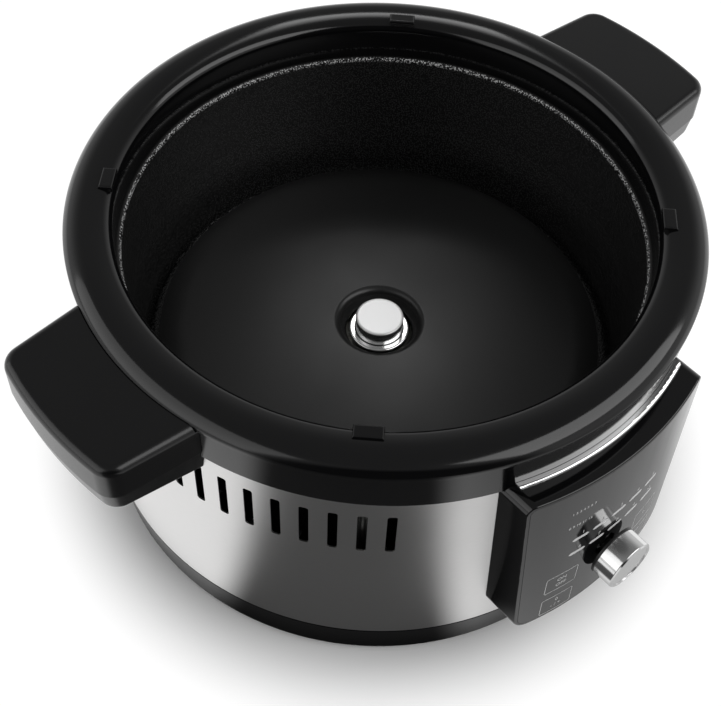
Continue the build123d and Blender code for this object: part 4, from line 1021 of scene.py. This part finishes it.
class COOKER_OT_stage(bpy.types.Operator):
    """Adds the pale floor, which shows painted dark sectors and a painted glow in reflections,
    the lamps and the camera
    """

    bl_idname = "cooker.stage"
    bl_label = "Stage"

    def execute(self, context):
        scene = context.scene
        scene.view_settings.view_transform = "Standard"
        form = bmesh.new()
        bmesh.ops.create_grid(form, x_segments=1, y_segments=1, size=6.0)
        floor = from_form("floor", form)
        material, tree, surface = shader("pale_floor", (0.9, 0.9, 0.9), 0.9)
        surface.inputs["Specular IOR Level"].default_value = 0.0
        rays = node(tree, "ShaderNodeLightPath").outputs["Is Camera Ray"]
        place = node(tree, "ShaderNodeTexCoord").outputs["Object"]
        level = node(tree, "ShaderNodeVectorMath", {0: place}, operation="NORMALIZE").outputs[0]
        # Painted reflection: to all rays but the camera's the floor is darker towards two sides
        # and glows elsewhere, standing in for the studio's dark and bright surroundings
        dark = toned_side(tree, level, PAINTED_DARK_FLOOR, 0.86, 0.94, 0.05)
        soft = toned_side(tree, level, PAINTED_DIM_FLOOR, 0.78, 0.97, 0.42)
        painted_reflection_tone = sum_of(tree, dark, soft, "MULTIPLY")
        tone = node(tree, "ShaderNodeMix", {0: rays, 2: painted_reflection_tone, 3: 1.0}).outputs[0]
        tree.links.new(sum_of(tree, tone, 0.9, "MULTIPLY"), surface.inputs["Base Color"])
        off = node(tree, "ShaderNodeVectorMath", {0: place}, operation="LENGTH").outputs["Value"]
        clear = ramp(tree, off, 0.152, 0.21, 0.0, 0.9, smooth=True)
        # The painted glow is left out next to the base, where the body's own shadow falls on the
        # floor
        near = ramp(tree, off, 0.155, 0.17, 0.0, 0.8)
        painted_reflection_glow = sum_of(tree, near, painted_reflection_tone, "MULTIPLY")
        seen = node(tree, "ShaderNodeMix", {0: rays, 2: painted_reflection_glow, 3: clear}).outputs[0]
        backdrop_and_painted_glow = node(tree, "ShaderNodeEmission", {0: (1, 1, 1, 1), 1: 1.1})
        mixed = node(tree, "ShaderNodeMixShader", {0: seen})
        tree.links.new(surface.outputs[0], mixed.inputs[1])
        tree.links.new(backdrop_and_painted_glow.outputs[0], mixed.inputs[2])
        tree.links.new(mixed.outputs[0], tree.nodes["Material Output"].inputs[0])
        floor.data.materials.append(material)

        world = bpy.data.worlds.new("studio")
        scene.world = world
        world.use_nodes = True
        tree = world.node_tree
        direction = node(tree, "ShaderNodeTexCoord").outputs["Generated"]
        height = node(tree, "ShaderNodeSeparateXYZ", {0: direction}).outputs[2]
        fade = ramp(tree, height, 0.2, 0.8, 0.6, 0.2, smooth=True)
        shade = toned_side(tree, direction, DARK_WALL, 0.7, 0.82, 0.04, smooth=False)
        level = sum_of(tree, fade, shade, "MULTIPLY")
        tree.links.new(level, tree.nodes["Background"].inputs[0])

        softbox("left_softbox", (-1.3, 0.55, 0.9), (0, 0, 0.12), (2.4, 1.3), 9)
        softbox("right_softbox", (0.6, -1.03, 1.2), (0, 0, 0.12), (1.8, 1.0), 13)
        softbox(
            "sensor_snoot", (0.21, 0.224, 0.5), (0, 0, 0.095), (0.13, 0.13), 0.0027, radians(20)
        )

        data = bpy.data.cameras.new("camera")
        data.sensor_width = 36
        data.lens = CAMERA_LENS
        data.clip_start, data.clip_end = 0.01, 100
        camera = bpy.data.objects.new("camera", data)
        scene.collection.objects.link(camera)
        right, up, ahead = Vector(CAMERA_RIGHT), Vector(CAMERA_UP), Vector(CAMERA_AHEAD)
        turn = Matrix((right, up, -ahead)).transposed()
        camera.matrix_world = Matrix.Translation(CAMERA_PLACE) @ turn.to_4x4()
        scene.camera = camera
        return {"FINISHED"}


class COOKER_PT_panel(bpy.types.Panel):
    """Lists the cooker's pieces and their values"""

    bl_idname = "COOKER_PT_panel"
    bl_label = "Multicooker"
    bl_space_type = "VIEW_3D"
    bl_region_type = "UI"
    bl_category = "Multicooker"

    def draw(self, context):
        column = self.layout.column(align=True)
        for name in STEPS:
            column.operator(f"cooker.{name}")
        for values in (context.scene.cooker_sizes, context.scene.cooker_colours):
            box = self.layout.box()
            for name in values.__annotations__:
                box.prop(values, name)


STEPS = ("stage", "collar", "shell", "handles", "well", "sensor", "panel", "knob", "inside")
CLASSES = (
    CookerColours, CookerSizes, COOKER_OT_collar, COOKER_OT_shell, COOKER_OT_handles,
    COOKER_OT_well, COOKER_OT_sensor, COOKER_OT_panel, COOKER_OT_knob, COOKER_OT_inside,
    COOKER_OT_stage, COOKER_PT_panel,
)


def register():
    for kind in CLASSES:
        bpy.utils.register_class(kind)
    bpy.types.Scene.cooker_sizes = bpy.props.PointerProperty(type=CookerSizes)
    bpy.types.Scene.cooker_colours = bpy.props.PointerProperty(type=CookerColours)


def unregister():
    del bpy.types.Scene.cooker_colours
    del bpy.types.Scene.cooker_sizes
    for kind in reversed(CLASSES):
        bpy.utils.unregister_class(kind)


def main():
    register()
    for name in STEPS:
        getattr(bpy.ops.cooker, name)()


if __name__ == "__main__":
    main()
